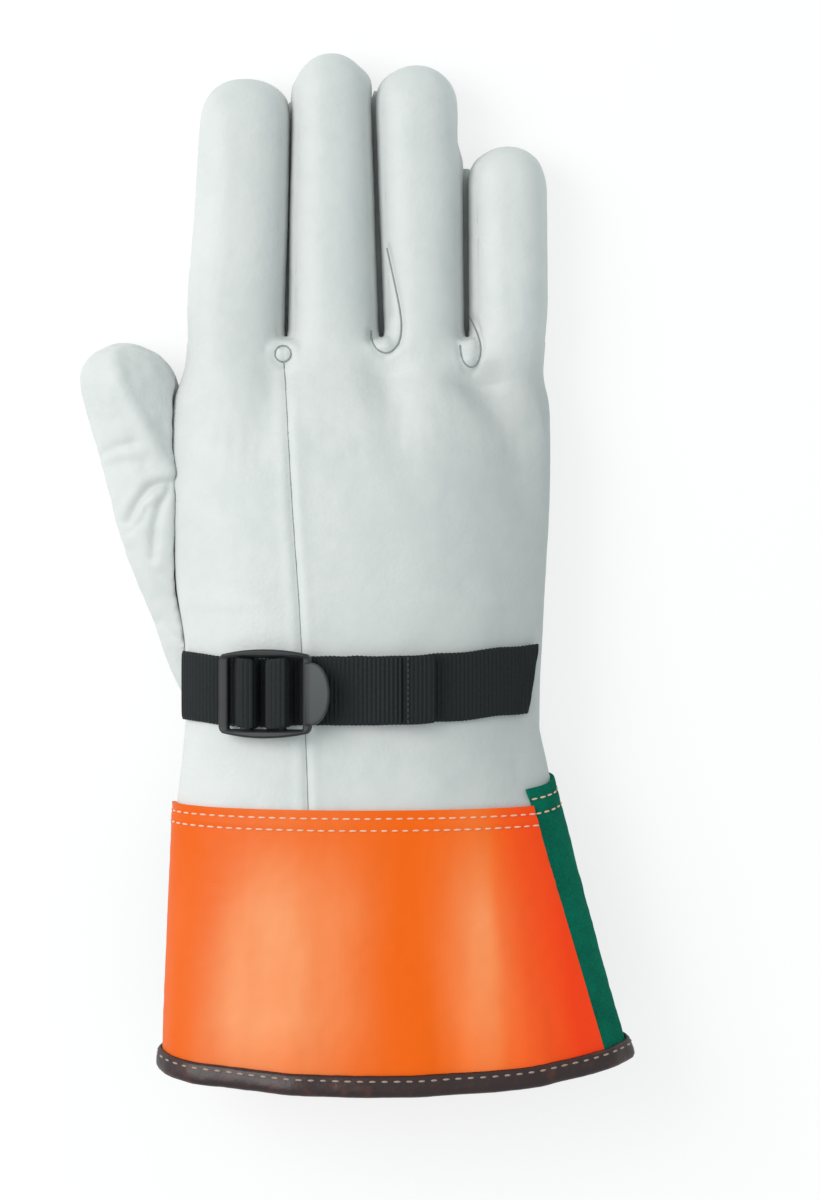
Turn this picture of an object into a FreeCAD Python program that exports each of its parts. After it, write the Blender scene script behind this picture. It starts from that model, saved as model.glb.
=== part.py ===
import FreeCAD, Part
import math
import os
import re

import Sketcher

# Leather protector glove for the right hand, lying on its palm, worn over a rubber insulating glove.
# +Y runs to the fingertips, +X to the little finger, +Z out of the back of the hand. Millimetres.

doc = FreeCAD.newDocument("glove")
sheet = doc.addObject("Spreadsheet::Sheet", "Sizes")

sizes = {
    # materials and clearances
    "leather": 1.2,
    "cloth": 1.3,
    "webbing": 1.4,
    "play": 0.3,
    "fit": 0.15,
    # hand: stations from the finger forks down to the wrist
    "knuckle_line": 68.0,
    "fork_depth": 4.0,
    "fork_width": 103.0,
    "fork_thick": 22.0,
    "fork_shift": 2.5,
    "upper_palm_line": 50.0,
    "upper_palm_width": 108.4,
    "upper_palm_thick": 31.0,
    "upper_palm_shift": 2.2,
    "mid_palm_line": 36.0,
    "mid_palm_width": 108.8,
    "mid_palm_thick": 36.0,
    "mid_palm_shift": 2.0,
    "palm_line": 18.0,
    "palm_width": 108.6,
    "palm_thick": 39.5,
    "palm_shift": 1.7,
    "palm_sink": 1.2,
    "heel_line": -4.0,
    "heel_width": 107.2,
    "heel_thick": 41.0,
    "heel_shift": 1.6,
    "wrist_width": 105.2,
    "wrist_thick": 41.0,
    "wrist_shift": 2.6,
    "wrist_lift": 1.7,
    "back_seam_shift": -21.3,
    "back_seam_lean": 3.4,
    # gauntlet cuff: a cone between two planes that lean back by cuff_tilt
    "cuff_tilt": 15.0,
    "cuff_top_line": -68.0,
    "cuff_top_width": 114.0,
    "cuff_top_thick": 45.6,
    "cuff_top_shift": 3.3,
    "cuff_top_lift": 0.3,
    "cuff_hem_line": -143.7,
    "cuff_mouth_width": 135.6,
    "cuff_mouth_thick": 51.0,
    "cuff_mouth_shift": 11.4,
    "cuff_mouth_lift": 1.6,
    "cuff_lap": 12.0,
    "suede_rise": 9.0,
    "suede_seam_shift": 55.2,
    "suede_seam_lean": 14.5,
    "binding": 1.3,
    "binding_height": 7.0,
    # strap and buckle
    "strap_line": -33.5,
    "strap_width": 20.0,
    "strap_left_end": -49.6,
    "strap_right_end": 51.8,
    "strap_cut_lean": 10.8,
    "buckle_left": -39.7,
    "tail_clear": 0.2,
    "webbing_play": 0.4,
    "wrap_drop": 0.6,
    "buckle_rise": 4.4,
    "buckle_length": 27.0,
    "buckle_thick": 3.0,
    "buckle_rail": 2.6,
    "buckle_bulge": 55.0,
    "end_bar": 3.0,
    "anchor_slot": 3.3,
    "ladder_bar": 3.4,
    "ladder_slot": 3.6,
    "grip_bar": 4.4,
    "loop_radius": 4.1,
    "tab_length": 6.5,
    "tab_flat": 0.6,
    "tab_width": 16.0,
    "tab_thick": 1.8,
    "tail_touch": -4.0,
    "tail_hidden": 15.5,
    "tail_length": 41.1,
    "tail_hem": 7.5,
    # digits
    "finger_thick": 23.2,
    "fingertip_thick": 21.4,
    "finger_sink": 0.7,
    "finger_rounding": 0.6,
    "stub_rise": 0.7,
    "fork_tab_height": 16.1,
    "fourchette": 11.5,
    "fork_tab": 6.0,
    "knuckle_run": 34.0,
    "index_root": -36.2,
    "index_lean": 3.2,
    "index_base_width": 29.2,
    "index_tip_width": 25.6,
    "index_reach": 77.0,
    "middle_root": -6.6,
    "middle_lean": -0.5,
    "middle_base_width": 26.2,
    "middle_tip_width": 23.6,
    "middle_reach": 84.3,
    "ring_root": 20.0,
    "ring_lean": -1.9,
    "ring_base_width": 23.6,
    "ring_tip_width": 24.8,
    "ring_reach": 80.5,
    "little_root": 44.4,
    "little_lean": -0.4,
    "little_base_width": 24.2,
    "little_tip_width": 24.4,
    "little_reach": 57.4,
    "thumb_lean": 16.5,
    "thumb_root": -54.1,
    "thumb_line": 10.0,
    "thumb_base_width": 29.0,
    "thumb_tip_width": 28.5,
    "thumb_thick": 24.0,
    "thumb_reach": 59.6,
    "thumb_rounding": 0.55,
    "thumb_clear": 0.1,
    "thumb_heel_reach": 49.0,
    "thumb_heel_lean": 16.0,
    "thumb_heel_width": 14.0,
    "thumb_heel_thick": 12.0,
}

for row, (name, number) in enumerate(sizes.items(), start=1):
    sheet.set("A%d" % row, name)
    sheet.set("B%d" % row, str(number))
    sheet.setAlias("B%d" % row, name)
doc.recompute()

sizeWord = re.compile(r"\b(" + "|".join(sorted(sizes, key=len, reverse=True)) + r")\b")
xAxis = FreeCAD.Vector(1, 0, 0)
yAxis = FreeCAD.Vector(0, 1, 0)
zAxis = FreeCAD.Vector(0, 0, 1)
noTurn = FreeCAD.Rotation()
far = "400"


def cells(text):
    """The text with each size's name turned into its cell."""
    return sizeWord.sub(r"Sizes.\1", str(text))


def value(text):
    """What the text comes to. Angles are in degrees."""
    return float(FreeCAD.Units.Quantity(sheet.evalExpression(cells(text))).Value)


def bind(obj, **properties):
    for name, text in properties.items():
        obj.setExpression(name, cells(text))
    return obj


def place(obj, x, y, z, rotation=noTurn):
    obj.Placement = FreeCAD.Placement(FreeCAD.Vector(0, 0, 0), rotation)
    for axis, text in zip("xyz", (x, y, z)):
        obj.setExpression(".Placement.Base." + axis, cells(text))
    return obj


def box(name, x, y, z, length, width, height, rotation=noTurn):
    made = bind(doc.addObject("Part::Box", name), Length=length, Width=width, Height=height)
    return place(made, x, y, z, rotation)


def rod(name, x, y, z, radius, height):
    """A cylinder along +Y."""
    made = bind(doc.addObject("Part::Cylinder", name), Radius=radius, Height=height)
    return place(made, x, y, z, FreeCAD.Rotation(xAxis, -90))


def cut(name, base, tool):
    made = doc.addObject("Part::Cut", name)
    made.Base = base
    made.Tool = tool
    return made


def fuse(name, *shapes):
    made = doc.addObject("Part::MultiFuse", name)
    made.Shapes = list(shapes)
    return made


def common(name, *shapes):
    made = doc.addObject("Part::MultiCommon", name)
    made.Shapes = list(shapes)
    return made


def section(name, x, y, z, halfWidth, halfHeight, tilt=0, turn=0):
    """An upright ellipse across the hand. tilt leans its top to the cuff, turn swings it about Z.

    It is four arcs, because a surface lofted through whole ellipses closes on itself.
    """
    wide = value(halfWidth)
    high = min(value(halfHeight), wide - 0.001)
    ellipse = Part.Ellipse(FreeCAD.Vector(0, 0, 0), wide, high)
    quarters = [(math.radians(start), math.radians(start + 90)) for start in (-90, 0, 90, 180)]
    made = doc.addObject("Part::Feature", name)
    made.Shape = Part.Wire([Part.ArcOfEllipse(ellipse, *quarter).toShape() for quarter in quarters])
    upright = FreeCAD.Rotation(zAxis, turn) * FreeCAD.Rotation(xAxis, 90 + tilt)
    return place(made, x, y, z, upright)


def loft(name, stations):
    made = doc.addObject("Part::Loft", name)
    made.Sections = [section("%s_%d" % (name, i), **one) for i, one in enumerate(stations)]
    made.Solid = True
    made.Ruled = True
    return made


floor = box("floor", -200, -200, -50, far, far, "50")
leatherFloor = box("leather_floor", -200, -200, -50, far, far, "50 + leather")


# ---- the hand ----------------------------------------------------------------------------------

wristAxis = "wrist_thick / 2 + wrist_lift"


def acrossHand(line, kind, grow, rise="-palm_sink"):
    return dict(x=kind + "_shift", y=line, z="%s_thick / 2 + %s" % (kind, rise),
                halfWidth="%s_width / 2 + %s" % (kind, grow),
                halfHeight="%s_thick / 2 + %s" % (kind, grow))


def acrossCuff(line, grow):
    """The cuff's cone, cut by a leaning plane at this line. grow is added all round."""
    share = "((cuff_top_line - (%s)) / (cuff_top_line - cuff_hem_line))" % line

    def between(size):
        return "(cuff_top_%s + (cuff_mouth_%s - cuff_top_%s) * %s)" % (size, size, size, share)

    return dict(x=between("shift"), y=line, z=between("thick") + " / 2 + " + between("lift"),
                halfWidth=between("width") + " / 2 + " + grow,
                halfHeight=between("thick") + " / 2 + " + grow, tilt=value("cuff_tilt"))


suedeLine = "cuff_top_line + suede_rise"
leatherEnd = "cuff_top_line - cuff_lap"


def handLoft(name, grow, mouth="0", front="0"):
    underCuff = "-cloth - fit + " + grow
    return loft(name, [
        acrossHand("knuckle_line - fork_depth + " + front, "fork", grow),
        acrossHand("upper_palm_line", "upper_palm", grow),
        acrossHand("mid_palm_line", "mid_palm", grow),
        acrossHand("palm_line", "palm", grow),
        acrossHand("heel_line", "heel", grow, "-palm_sink / 2"),
        acrossHand("strap_line + strap_width / 2 + 3", "wrist", grow, "wrist_lift"),
        acrossHand("strap_line - strap_width / 2 - 3", "wrist", grow, "wrist_lift"),
        acrossCuff(suedeLine + " + 2", underCuff),
        acrossCuff("%s - %s" % (leatherEnd, mouth), underCuff),
    ])


fingers = {
    "index": ("right",),
    "middle": ("left", "right"),
    "ring": ("left", "right"),
    "little": ("left",),
}
seamHeight = "(finger_thick / 2 - finger_sink)"


def acrossFinger(finger, along, share, scale, grow):
    """One station of a finger: share runs from the base to the tip's shoulder."""
    width = "(%s_base_width + (%s_tip_width - %s_base_width) * %s) / 2" % (finger, finger, finger, share)
    thick = "(finger_thick + (fingertip_thick - finger_thick) * %s) / 2" % share
    return dict(x="%s_root + (%s) * tan(%s_lean)" % (finger, along, finger),
                y="knuckle_line + " + along, z=thick + " - finger_sink",
                halfWidth="(%s + %s) * %s" % (width, grow, scale),
                halfHeight="(%s + %s) * %s" % (thick, grow, scale))


tipAngles = (0, 28, 50, 68, 82)


def fingerLoft(name, finger, start, grow):
    """A tube that narrows over its tip as half an ellipse does."""
    shoulder = "(%s_reach - finger_rounding * %s_tip_width)" % (finger, finger)
    stations = [acrossFinger(finger, start, "0", "1", grow)]
    for angle in tipAngles:
        along = "%s + (%s_reach - %s + %s) * sin(%d)" % (shoulder, finger, shoulder, grow, angle)
        stations.append(acrossFinger(finger, along, "1", "cos(%d)" % angle, grow))
    return loft(name, stations)


def stub(name, finger, grow, reach):
    """The root of a finger, which sinks into the hand behind the forks."""
    sunk = acrossFinger(finger, "-knuckle_run", "0", "0.5", grow)
    sunk["z"] = "finger_thick * stub_rise"
    return loft(name, [sunk, acrossFinger(finger, "-fork_depth", "0", "1", grow),
                       acrossFinger(finger, reach, "0", "1", grow)])


handBody = fuse("hand_body", handLoft("hand_loft", "0"),
                *[stub(finger + "_stub", finger, "0", "0") for finger in fingers])
handOuter = cut("hand_outer", handBody, floor)
handCore = fuse("hand_core", handLoft("hand_core_loft", "-leather", "1", "-leather"),
                *[stub(finger + "_core", finger, "-leather", "1") for finger in fingers])
handInner = cut("hand_inner", handCore, leatherFloor)

# the thumb: a fixed heel that grows out of the hand, and the thumb itself beyond the heel
thumbRise = "thumb_thick / 2 - finger_sink"


def acrossThumb(along, width, scale, grow):
    return dict(x="thumb_root - (%s) * sin(thumb_lean)" % along,
                y="thumb_line + (%s) * cos(thumb_lean)" % along, z=thumbRise,
                halfWidth="(%s / 2 + %s) * %s" % (width, grow, scale),
                halfHeight="(thumb_thick / 2 + %s) * %s" % (grow, scale), turn=value("thumb_lean"))


def thumbLoft(name, start, grow):
    shoulder = "(thumb_reach - thumb_rounding * thumb_tip_width)"
    stations = [acrossThumb(start, "thumb_base_width", "1", grow)]
    for angle in tipAngles:
        along = "%s + (thumb_reach - %s + %s) * sin(%d)" % (shoulder, shoulder, grow, angle)
        stations.append(acrossThumb(along, "thumb_tip_width", "cos(%d)" % angle, grow))
    return loft(name, stations)


def heelLoft(name, start, grow):
    end = dict(x="thumb_root + thumb_heel_reach * sin(thumb_heel_lean)",
               y="thumb_line - thumb_heel_reach * cos(thumb_heel_lean)",
               z="thumb_heel_thick / 2 - finger_sink / 2",
               halfWidth="thumb_heel_width / 2 + " + grow,
               halfHeight="thumb_heel_thick / 2 + " + grow, turn=value("thumb_heel_lean"))
    return loft(name, [acrossThumb(start, "thumb_base_width", "1", grow), end])


heelCore = cut("heel_core", heelLoft("heel_core_loft", "1", "-leather"), leatherFloor)
heelOuter = cut("heel_outer", heelLoft("heel_loft", "0", "0"), floor)
heelShell = cut("heel_shell", heelOuter, heelCore)
thumbRoot = cut("thumb_root", heelShell, handOuter)

handWall = cut("hand_wall", handOuter, handInner)
handShell = cut("hand_shell", handWall, heelCore)

# panels: the back and the palm meet at the side seams, and one seam runs down the back
seamTilt = FreeCAD.Rotation(zAxis, value("back_seam_lean"))
upperHalf = box("upper_half", -200, -200, seamHeight, far, far, "100")
seamSide = box("back_seam_side", "back_seam_shift + (200 + knuckle_line) * tan(back_seam_lean)", -200, -10,
               "200", far, "100", seamTilt)
backPanel = common("back_panel", handShell, upperHalf)
backMain = common("back_panel_main", backPanel, seamSide)
backIndexSide = cut("back_panel_index_side", backPanel, seamSide)
palmPanel = cut("palm_panel", handShell, upperHalf)

# fork tabs: the U-shaped end of each fourchette, between two fingers
forkTabs = []
neighbours = list(fingers)
for left, right in zip(neighbours, neighbours[1:]):
    middle = "((%s_root + %s_base_width / 2 + %s_root - %s_base_width / 2) / 2)" % (left, left, right, right)
    tabBlock = box("%s_%s_tab_block" % (left, right), middle + " - fork_tab / 2",
                   "knuckle_line - fork_depth - 3", "finger_thick / 2 - finger_sink - fork_tab_height / 2",
                   "fork_tab", "fork_depth + 3 - play", "fork_tab_height")
    forkTabs.append(cut("fork_tab_%s_%s" % (left, right), tabBlock, handOuter))

# ---- the fingers -------------------------------------------------------------------------------

fingerPieces = []
for finger, sides in fingers.items():
    outer = cut(finger + "_outer", fingerLoft(finger + "_loft", finger, "play", "0"), floor)
    inner = cut(finger + "_inner", fingerLoft(finger + "_core_loft", finger, "play - 1", "-leather"),
                    leatherFloor)
    shell = cut(finger + "_shell", outer, inner)
    centre = "(%s_root + %s_reach / 2 * tan(%s_lean))" % (finger, finger, finger)
    start = {"left": "%s - 60" % centre, "right": centre}
    half = "fourchette / 2"
    above = [box(finger + "_above", centre + " - 60", 0, seamHeight + " + " + half, "120", far, "60")]
    below = [box(finger + "_below", centre + " - 60", 0, "-30", "120", far,
                 "30 + %s - %s" % (seamHeight, half))]
    for side in ("left", "right"):
        if side in sides:
            strip = box("%s_%s_strip" % (finger, side), start[side], 0, seamHeight + " - " + half,
                        "60", far, "fourchette")
            fingerPieces.append(common("%s_fourchette_%s" % (finger, side), shell, strip))
        else:
            above.append(box("%s_%s_high" % (finger, side), start[side], 0, seamHeight, "60", far, half))
            below.append(box("%s_%s_low" % (finger, side), start[side], 0, seamHeight + " - " + half,
                             "60", far, half))
    for part, blocks in (("back", above), ("palm", below)):
        region = blocks[0] if len(blocks) == 1 else fuse("%s_%s_region" % (finger, part), *blocks)
        fingerPieces.append(common("%s_%s" % (finger, part), shell, region))

# ---- the thumb ---------------------------------------------------------------------------------

clearOfHand = handLoft("clear_of_hand", "play + thumb_clear")
clearOfWall = handLoft("clear_of_wall", "play + thumb_clear + leather")
thumbBody = cut("thumb_body", thumbLoft("thumb_loft", "play", "0"), floor)
thumbOuter = cut("thumb_outer", thumbBody, clearOfHand)
thumbHollow = cut("thumb_hollow", thumbLoft("thumb_core_loft", "play - 1", "-leather"), leatherFloor)
thumbInner = cut("thumb_inner", thumbHollow, clearOfWall)
thumbShell = cut("thumb_shell", thumbOuter, thumbInner)
thumbUpper = box("thumb_upper", -200, -100, thumbRise, far, far, "60")
thumbBack = common("thumb_back", thumbShell, thumbUpper)
thumbPalm = cut("thumb_palm", thumbShell, thumbUpper)

# ---- the cuff ----------------------------------------------------------------------------------


def cuffLoft(name, start, end, grow):
    return loft(name, [acrossCuff(start, grow), acrossCuff(end, grow)])


def cuffRing(name, start, end, outside, inside, over="1"):
    solid = cuffLoft(name + "_solid", start, end, outside)
    hollow = cuffLoft(name + "_hollow", "%s + %s" % (start, over), "%s - %s" % (end, over), inside)
    return cut(name, solid, hollow)


suedeSide = box("suede_side", "suede_seam_shift + (200 + cuff_top_line) * tan(suede_seam_lean)", -200, -10,
                "200", far, "100", FreeCAD.Rotation(zAxis, value("suede_seam_lean")))
cuffUpper = box("cuff_upper", -200, -300, "cuff_top_thick / 2 + cuff_top_lift", far, far, "100")
cuffBackRegion = cut("cuff_back_region", cuffUpper, suedeSide)
coatedShell = cuffRing("coated_shell", "cuff_top_line", "cuff_hem_line", "0", "-cloth")
suedeShell = cuffRing("suede_shell", suedeLine, "cuff_hem_line", "0", "-cloth")
cuffBack = common("cuff_back_panel", coatedShell, cuffBackRegion)
cuffPalm = cut("cuff_palm_panel", suedeShell, cuffBackRegion)

bindingTop = "cuff_hem_line - fit - binding + binding_height"
bindingEnd = "cuff_hem_line - fit - binding"
bindingBlock = cuffRing("binding_block", bindingTop, bindingEnd, "binding + fit", "-cloth - binding - fit")
bindingGroove = cuffRing("binding_groove", bindingTop + " + 1", "cuff_hem_line - fit", "fit",
                         "-cloth - fit")
cuffBinding = cut("cuff_binding", bindingBlock, bindingGroove)

# ---- the strap ---------------------------------------------------------------------------------


def strapLoft(name, grow, over):
    return loft(name, [acrossHand("strap_line + strap_width / 2 + " + over, "wrist", grow, "wrist_lift"),
                       acrossHand("strap_line - strap_width / 2 - " + over, "wrist", grow, "wrist_lift")])


strapBand = cut("strap_band", strapLoft("strap_outside", "play + webbing", "0"),
                strapLoft("strap_inside", "play", "1"))

# the free tail lies over the strap, straight, and touches down at one line
tailRun = "((wrist_shift - tail_touch) / (wrist_width / 2 + 2 * play + webbing))"
tailRise = "(wrist_thick / 2 + 2 * play + webbing)"
tailLean = "atan(%s * %s / ((wrist_width / 2 + 2 * play + webbing) * sqrt(1 - %s ^ 2)))" % (
    tailRise, tailRun, tailRun)
tailTurn = FreeCAD.Rotation(yAxis, -value(tailLean))
tailFoot = "(%s + %s * sqrt(1 - %s ^ 2))" % (wristAxis, tailRise, tailRun)
tailTopX = "(tail_touch - tail_hidden * cos(%s) - webbing * sin(%s))" % (tailLean, tailLean)
tailTopZ = "(%s - tail_hidden * sin(%s) + webbing * cos(%s))" % (tailFoot, tailLean, tailLean)

# the buckle stands off the wrist at its left end and leans until it clears the tail's hidden end
buckleFoot = ("(%s + wrist_thick / 2 * sqrt(1 - ((buckle_left - wrist_shift) / (wrist_width / 2)) ^ 2))"
              % wristAxis)
buckleOver = "(%s - buckle_left)" % tailTopX
buckleAbove = "(%s - %s)" % (tailTopZ, buckleFoot)
buckleLean = "(atan(%s / %s) - asin((buckle_rise - tail_clear) / sqrt(%s ^ 2 + %s ^ 2)))" % (
    buckleAbove, buckleOver, buckleAbove, buckleOver)
buckleTurn = FreeCAD.Rotation(yAxis, -value(buckleLean))
buckleX = "(buckle_left - buckle_rise * sin(%s))" % buckleLean
buckleZ = "(%s + buckle_rise * cos(%s))" % (buckleFoot, buckleLean)
gripStart = "(end_bar + anchor_slot + ladder_bar + ladder_slot)"


def onBuckle(along, up):
    """A point of the leaning buckle, from its left lower edge."""
    return ("%s + (%s) * cos(%s) - (%s) * sin(%s)" % (buckleX, along, buckleLean, up, buckleLean),
            "%s + (%s) * sin(%s) + (%s) * cos(%s)" % (buckleZ, along, buckleLean, up, buckleLean))


def buckleBox(name, along, y, up, length, width, height):
    x, z = onBuckle(along, up)
    return box(name, x, y, z, length, width, height, buckleTurn)


strapFoot = "strap_line - strap_width / 2"
barX, barZ = onBuckle("end_bar / 2", "buckle_thick / 2")
anchorReach = box("anchor_reach", "strap_left_end", -100, wristAxis, "buckle_left + 4 - strap_left_end",
                  "150", "100")
anchorLoop = cut("anchor_loop", rod("loop_outside", barX, strapFoot, barZ, "loop_radius", "strap_width"),
                 rod("loop_inside", barX, strapFoot + " - 1", barZ, "loop_radius - webbing",
                     "strap_width + 2"))
anchorBand = common("anchor_band", strapBand, anchorReach)
strapAnchor = fuse("strap_anchor", anchorBand, anchorLoop)

mainStart = onBuckle(gripStart + " - play - webbing", "0")[0]
mainReach = box("main_reach", mainStart, -100, wristAxis, "200", "150", "100")
cutOff = box("strap_cut_off", "strap_right_end - (strap_line + 200) * tan(0 - strap_cut_lean)",
             -200, -10, "200", "300", "100", FreeCAD.Rotation(zAxis, -value("strap_cut_lean")))
strapLong = common("strap_long", strapBand, mainReach)
strapMain = cut("strap_main", strapLong, cutOff)

# the loop of webbing over the buckle's grip bar, open below
wrapBlock = buckleBox("wrap_block", gripStart + " - play - webbing", strapFoot, "-wrap_drop",
                      "grip_bar + 2 * play + 2 * webbing", "strap_width",
                      "wrap_drop + buckle_thick + play + webbing")
wrapHole = buckleBox("wrap_hole", gripStart + " - play", strapFoot + " - 1", "-2",
                     "grip_bar + 2 * play", "strap_width + 2", "2 + buckle_thick + play")
strapWrap = cut("strap_wrap", wrapBlock, wrapHole)

# the free tail
strapTail = box("strap_tail", "tail_touch - tail_hidden * cos(%s)" % tailLean, strapFoot,
                "%s - tail_hidden * sin(%s)" % (tailFoot, tailLean), "tail_length", "strap_width",
                "webbing", tailTurn)
hemAlong = "(tail_length - tail_hem)"
tailHem = box("strap_tail_hem",
              "tail_touch + (%s - tail_hidden) * cos(%s) - webbing * sin(%s)" % (hemAlong, tailLean, tailLean),
              strapFoot,
              "%s + (%s - tail_hidden) * sin(%s) + webbing * cos(%s)" % (tailFoot, hemAlong, tailLean, tailLean),
              "tail_hem", "strap_width", "webbing", tailTurn)

# ---- the buckle: moulded ladder buckle with a thumb tab ------------------------------------------


def addSketch(body, name):
    sketch = body.newObject("Sketcher::SketchObject", name)
    plane = [one for one in body.Origin.OriginFeatures if one.Role == "XY_Plane"][0]
    sketch.AttachmentSupport = [(plane, "")]
    sketch.MapMode = "FlatFace"
    return sketch


def holdPoint(sketch, edge, end, name, x, y):
    """Ties a point of the sketch to two expressions, measured from the origin."""
    for kind, text in (("X", x), ("Y", y)):
        label = name + kind
        number = value(text)
        sketch.addConstraint(Sketcher.Constraint("Distance" + kind, -1, 1, edge, end, number))
        sketch.renameConstraint(sketch.ConstraintCount - 1, label)
        sketch.setExpression("Constraints." + label, cells(text))


def addSlot(sketch, index, x0, x1, half):
    """A rectangle from x0 to x1, as far as half each side of the middle line."""
    first = sketch.GeometryCount
    left, right, reach = value(x0), value(x1), value(half)
    corners = [(left, -reach), (right, -reach), (right, reach), (left, reach)]
    points = [FreeCAD.Vector(x, y, 0) for x, y in corners]
    for a, b in zip(points, points[1:] + points[:1]):
        sketch.addGeometry(Part.LineSegment(a, b))
    for i in range(4):
        sketch.addConstraint(Sketcher.Constraint("Coincident", first + i, 2, first + (i + 1) % 4, 1))
    for i, kind in enumerate(("Horizontal", "Vertical", "Horizontal", "Vertical")):
        sketch.addConstraint(Sketcher.Constraint(kind, first + i))
    holdPoint(sketch, first, 1, "low%d" % index, x0, "-(%s)" % half)
    holdPoint(sketch, first + 2, 1, "high%d" % index, x1, half)


buckle = doc.addObject("PartDesign::Body", "buckle_frame")
outline = addSketch(buckle, "outline")
halfEnd = "(strap_width / 2 + webbing_play + buckle_rail)"
reach = value(halfEnd)
span = value("buckle_length")
radius = value("buckle_bulge")
sag = radius - math.sqrt(radius ** 2 - (span / 2) ** 2)
corner = [FreeCAD.Vector(x, y, 0) for x, y in ((0, -reach), (span, -reach), (span, reach), (0, reach))]
outline.addGeometry(Part.Arc(corner[0], FreeCAD.Vector(span / 2, -reach - sag, 0), corner[1]))
outline.addGeometry(Part.LineSegment(corner[1], corner[2]))
outline.addGeometry(Part.Arc(corner[2], FreeCAD.Vector(span / 2, reach + sag, 0), corner[3]))
outline.addGeometry(Part.LineSegment(corner[3], corner[0]))
for low, lowEnd, high, highEnd in ((0, 2, 1, 1), (1, 2, 2, 1), (2, 2, 3, 1), (3, 2, 0, 1)):
    outline.addConstraint(Sketcher.Constraint("Coincident", low, lowEnd, high, highEnd))
outline.addConstraint(Sketcher.Constraint("Vertical", 1))
outline.addConstraint(Sketcher.Constraint("Vertical", 3))
holdPoint(outline, 3, 2, "start", "0", "-" + halfEnd)
holdPoint(outline, 1, 2, "finish", "buckle_length", halfEnd)
for side in (0, 2):
    outline.addConstraint(Sketcher.Constraint("Radius", side, radius))
    outline.renameConstraint(outline.ConstraintCount - 1, "bulge%d" % side)
    outline.setExpression("Constraints.bulge%d" % side, cells("buckle_bulge"))
frame = bind(buckle.newObject("PartDesign::Pad", "frame"), Length="buckle_thick")
frame.Profile = outline

slots = addSketch(buckle, "slots")
halfSlot = "(strap_width / 2 + webbing_play)"
ladderStart = "(end_bar + anchor_slot)"
addSlot(slots, 0, "end_bar", ladderStart, halfSlot)
addSlot(slots, 1, ladderStart + " + ladder_bar", gripStart, halfSlot)
addSlot(slots, 2, gripStart + " + grip_bar", "buckle_length - end_bar", halfSlot)
openings = bind(buckle.newObject("PartDesign::Pocket", "openings"), Length="buckle_thick + 2")
openings.Profile = slots
openings.Reversed = True

tabSketch = addSketch(buckle, "tab_outline")
addSlot(tabSketch, 0, "buckle_length - end_bar / 2", "buckle_length + tab_length", "(tab_width / 2)")
tab = bind(buckle.newObject("PartDesign::Pad", "tab"), Length="tab_thick")
tab.Profile = tabSketch
doc.recompute()


def edgesAt(shape, x):
    """Names of the upright edges of the tab's far corners."""
    names = []
    for i, edge in enumerate(shape.Edges, start=1):
        box3 = edge.BoundBox
        if abs(box3.XMin - x) < 0.01 and box3.XLength < 0.01 and box3.YLength < 0.01:
            names.append("Edge%d" % i)
    return names


tabEnd = value("buckle_length + tab_length")
tabRound = bind(buckle.newObject("PartDesign::Fillet", "tab_round"), Radius="tab_length - tab_flat")
tabRound.Base = (tab, edgesAt(tab.Shape, tabEnd))
buckle.Tip = tabRound
place(buckle, buckleX, "strap_line", buckleZ, buckleTurn)

# ---- write the pieces --------------------------------------------------------------------------

doc.recompute()
pieces = [backMain, backIndexSide, palmPanel, thumbRoot] + forkTabs + fingerPieces
pieces += [thumbBack, thumbPalm, cuffBack, cuffPalm, cuffBinding]
pieces += [strapAnchor, strapMain, strapWrap, strapTail, tailHem, buckle]
for piece in pieces:
    piece.Label = piece.Name
for obj in doc.Objects:
    if "Invalid" in obj.State or "Error" in obj.State:
        raise RuntimeError("%s failed: %s" % (obj.Name, obj.State))
for piece in pieces:
    if piece.Shape.isNull() or not piece.Shape.isValid():
        raise RuntimeError("%s has no valid shape" % piece.Label)
os.makedirs("parts", exist_ok=True)
for piece in pieces:
    piece.Shape.exportStep("parts/%s.step" % piece.Label)
    print(piece.Label, len(piece.Shape.Solids), round(piece.Shape.Volume, 1))
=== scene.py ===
import math

import bmesh
import bpy
import numpy as np
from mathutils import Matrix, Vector, noise
from mathutils.bvhtree import BVHTree


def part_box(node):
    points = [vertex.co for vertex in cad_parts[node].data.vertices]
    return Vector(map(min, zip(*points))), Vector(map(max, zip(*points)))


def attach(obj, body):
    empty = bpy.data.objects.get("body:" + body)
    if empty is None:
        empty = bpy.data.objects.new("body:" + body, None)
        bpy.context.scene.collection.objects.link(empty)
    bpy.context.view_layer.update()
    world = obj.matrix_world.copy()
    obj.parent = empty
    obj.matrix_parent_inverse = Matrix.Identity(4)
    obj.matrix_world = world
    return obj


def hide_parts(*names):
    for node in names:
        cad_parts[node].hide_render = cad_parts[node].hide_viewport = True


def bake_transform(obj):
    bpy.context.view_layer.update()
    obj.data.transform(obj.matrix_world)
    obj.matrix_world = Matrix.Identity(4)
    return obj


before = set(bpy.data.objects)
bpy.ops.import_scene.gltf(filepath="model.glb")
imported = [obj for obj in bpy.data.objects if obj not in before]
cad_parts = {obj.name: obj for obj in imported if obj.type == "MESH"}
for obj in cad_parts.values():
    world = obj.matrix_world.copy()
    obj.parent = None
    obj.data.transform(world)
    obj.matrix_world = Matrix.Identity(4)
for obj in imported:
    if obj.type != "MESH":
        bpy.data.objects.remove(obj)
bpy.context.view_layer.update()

mm = 0.001  # shapes are worked out in millimetres and made in metres
print("stage: frame loaded")


def boxOf(*nodes):
    # lowest and highest corner of some CAD nodes together, in millimetres
    corners = [np.array(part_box(node), float) / mm for node in nodes]
    return np.min([c[0] for c in corners], axis=0), np.max([c[1] for c in corners], axis=0)


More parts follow.
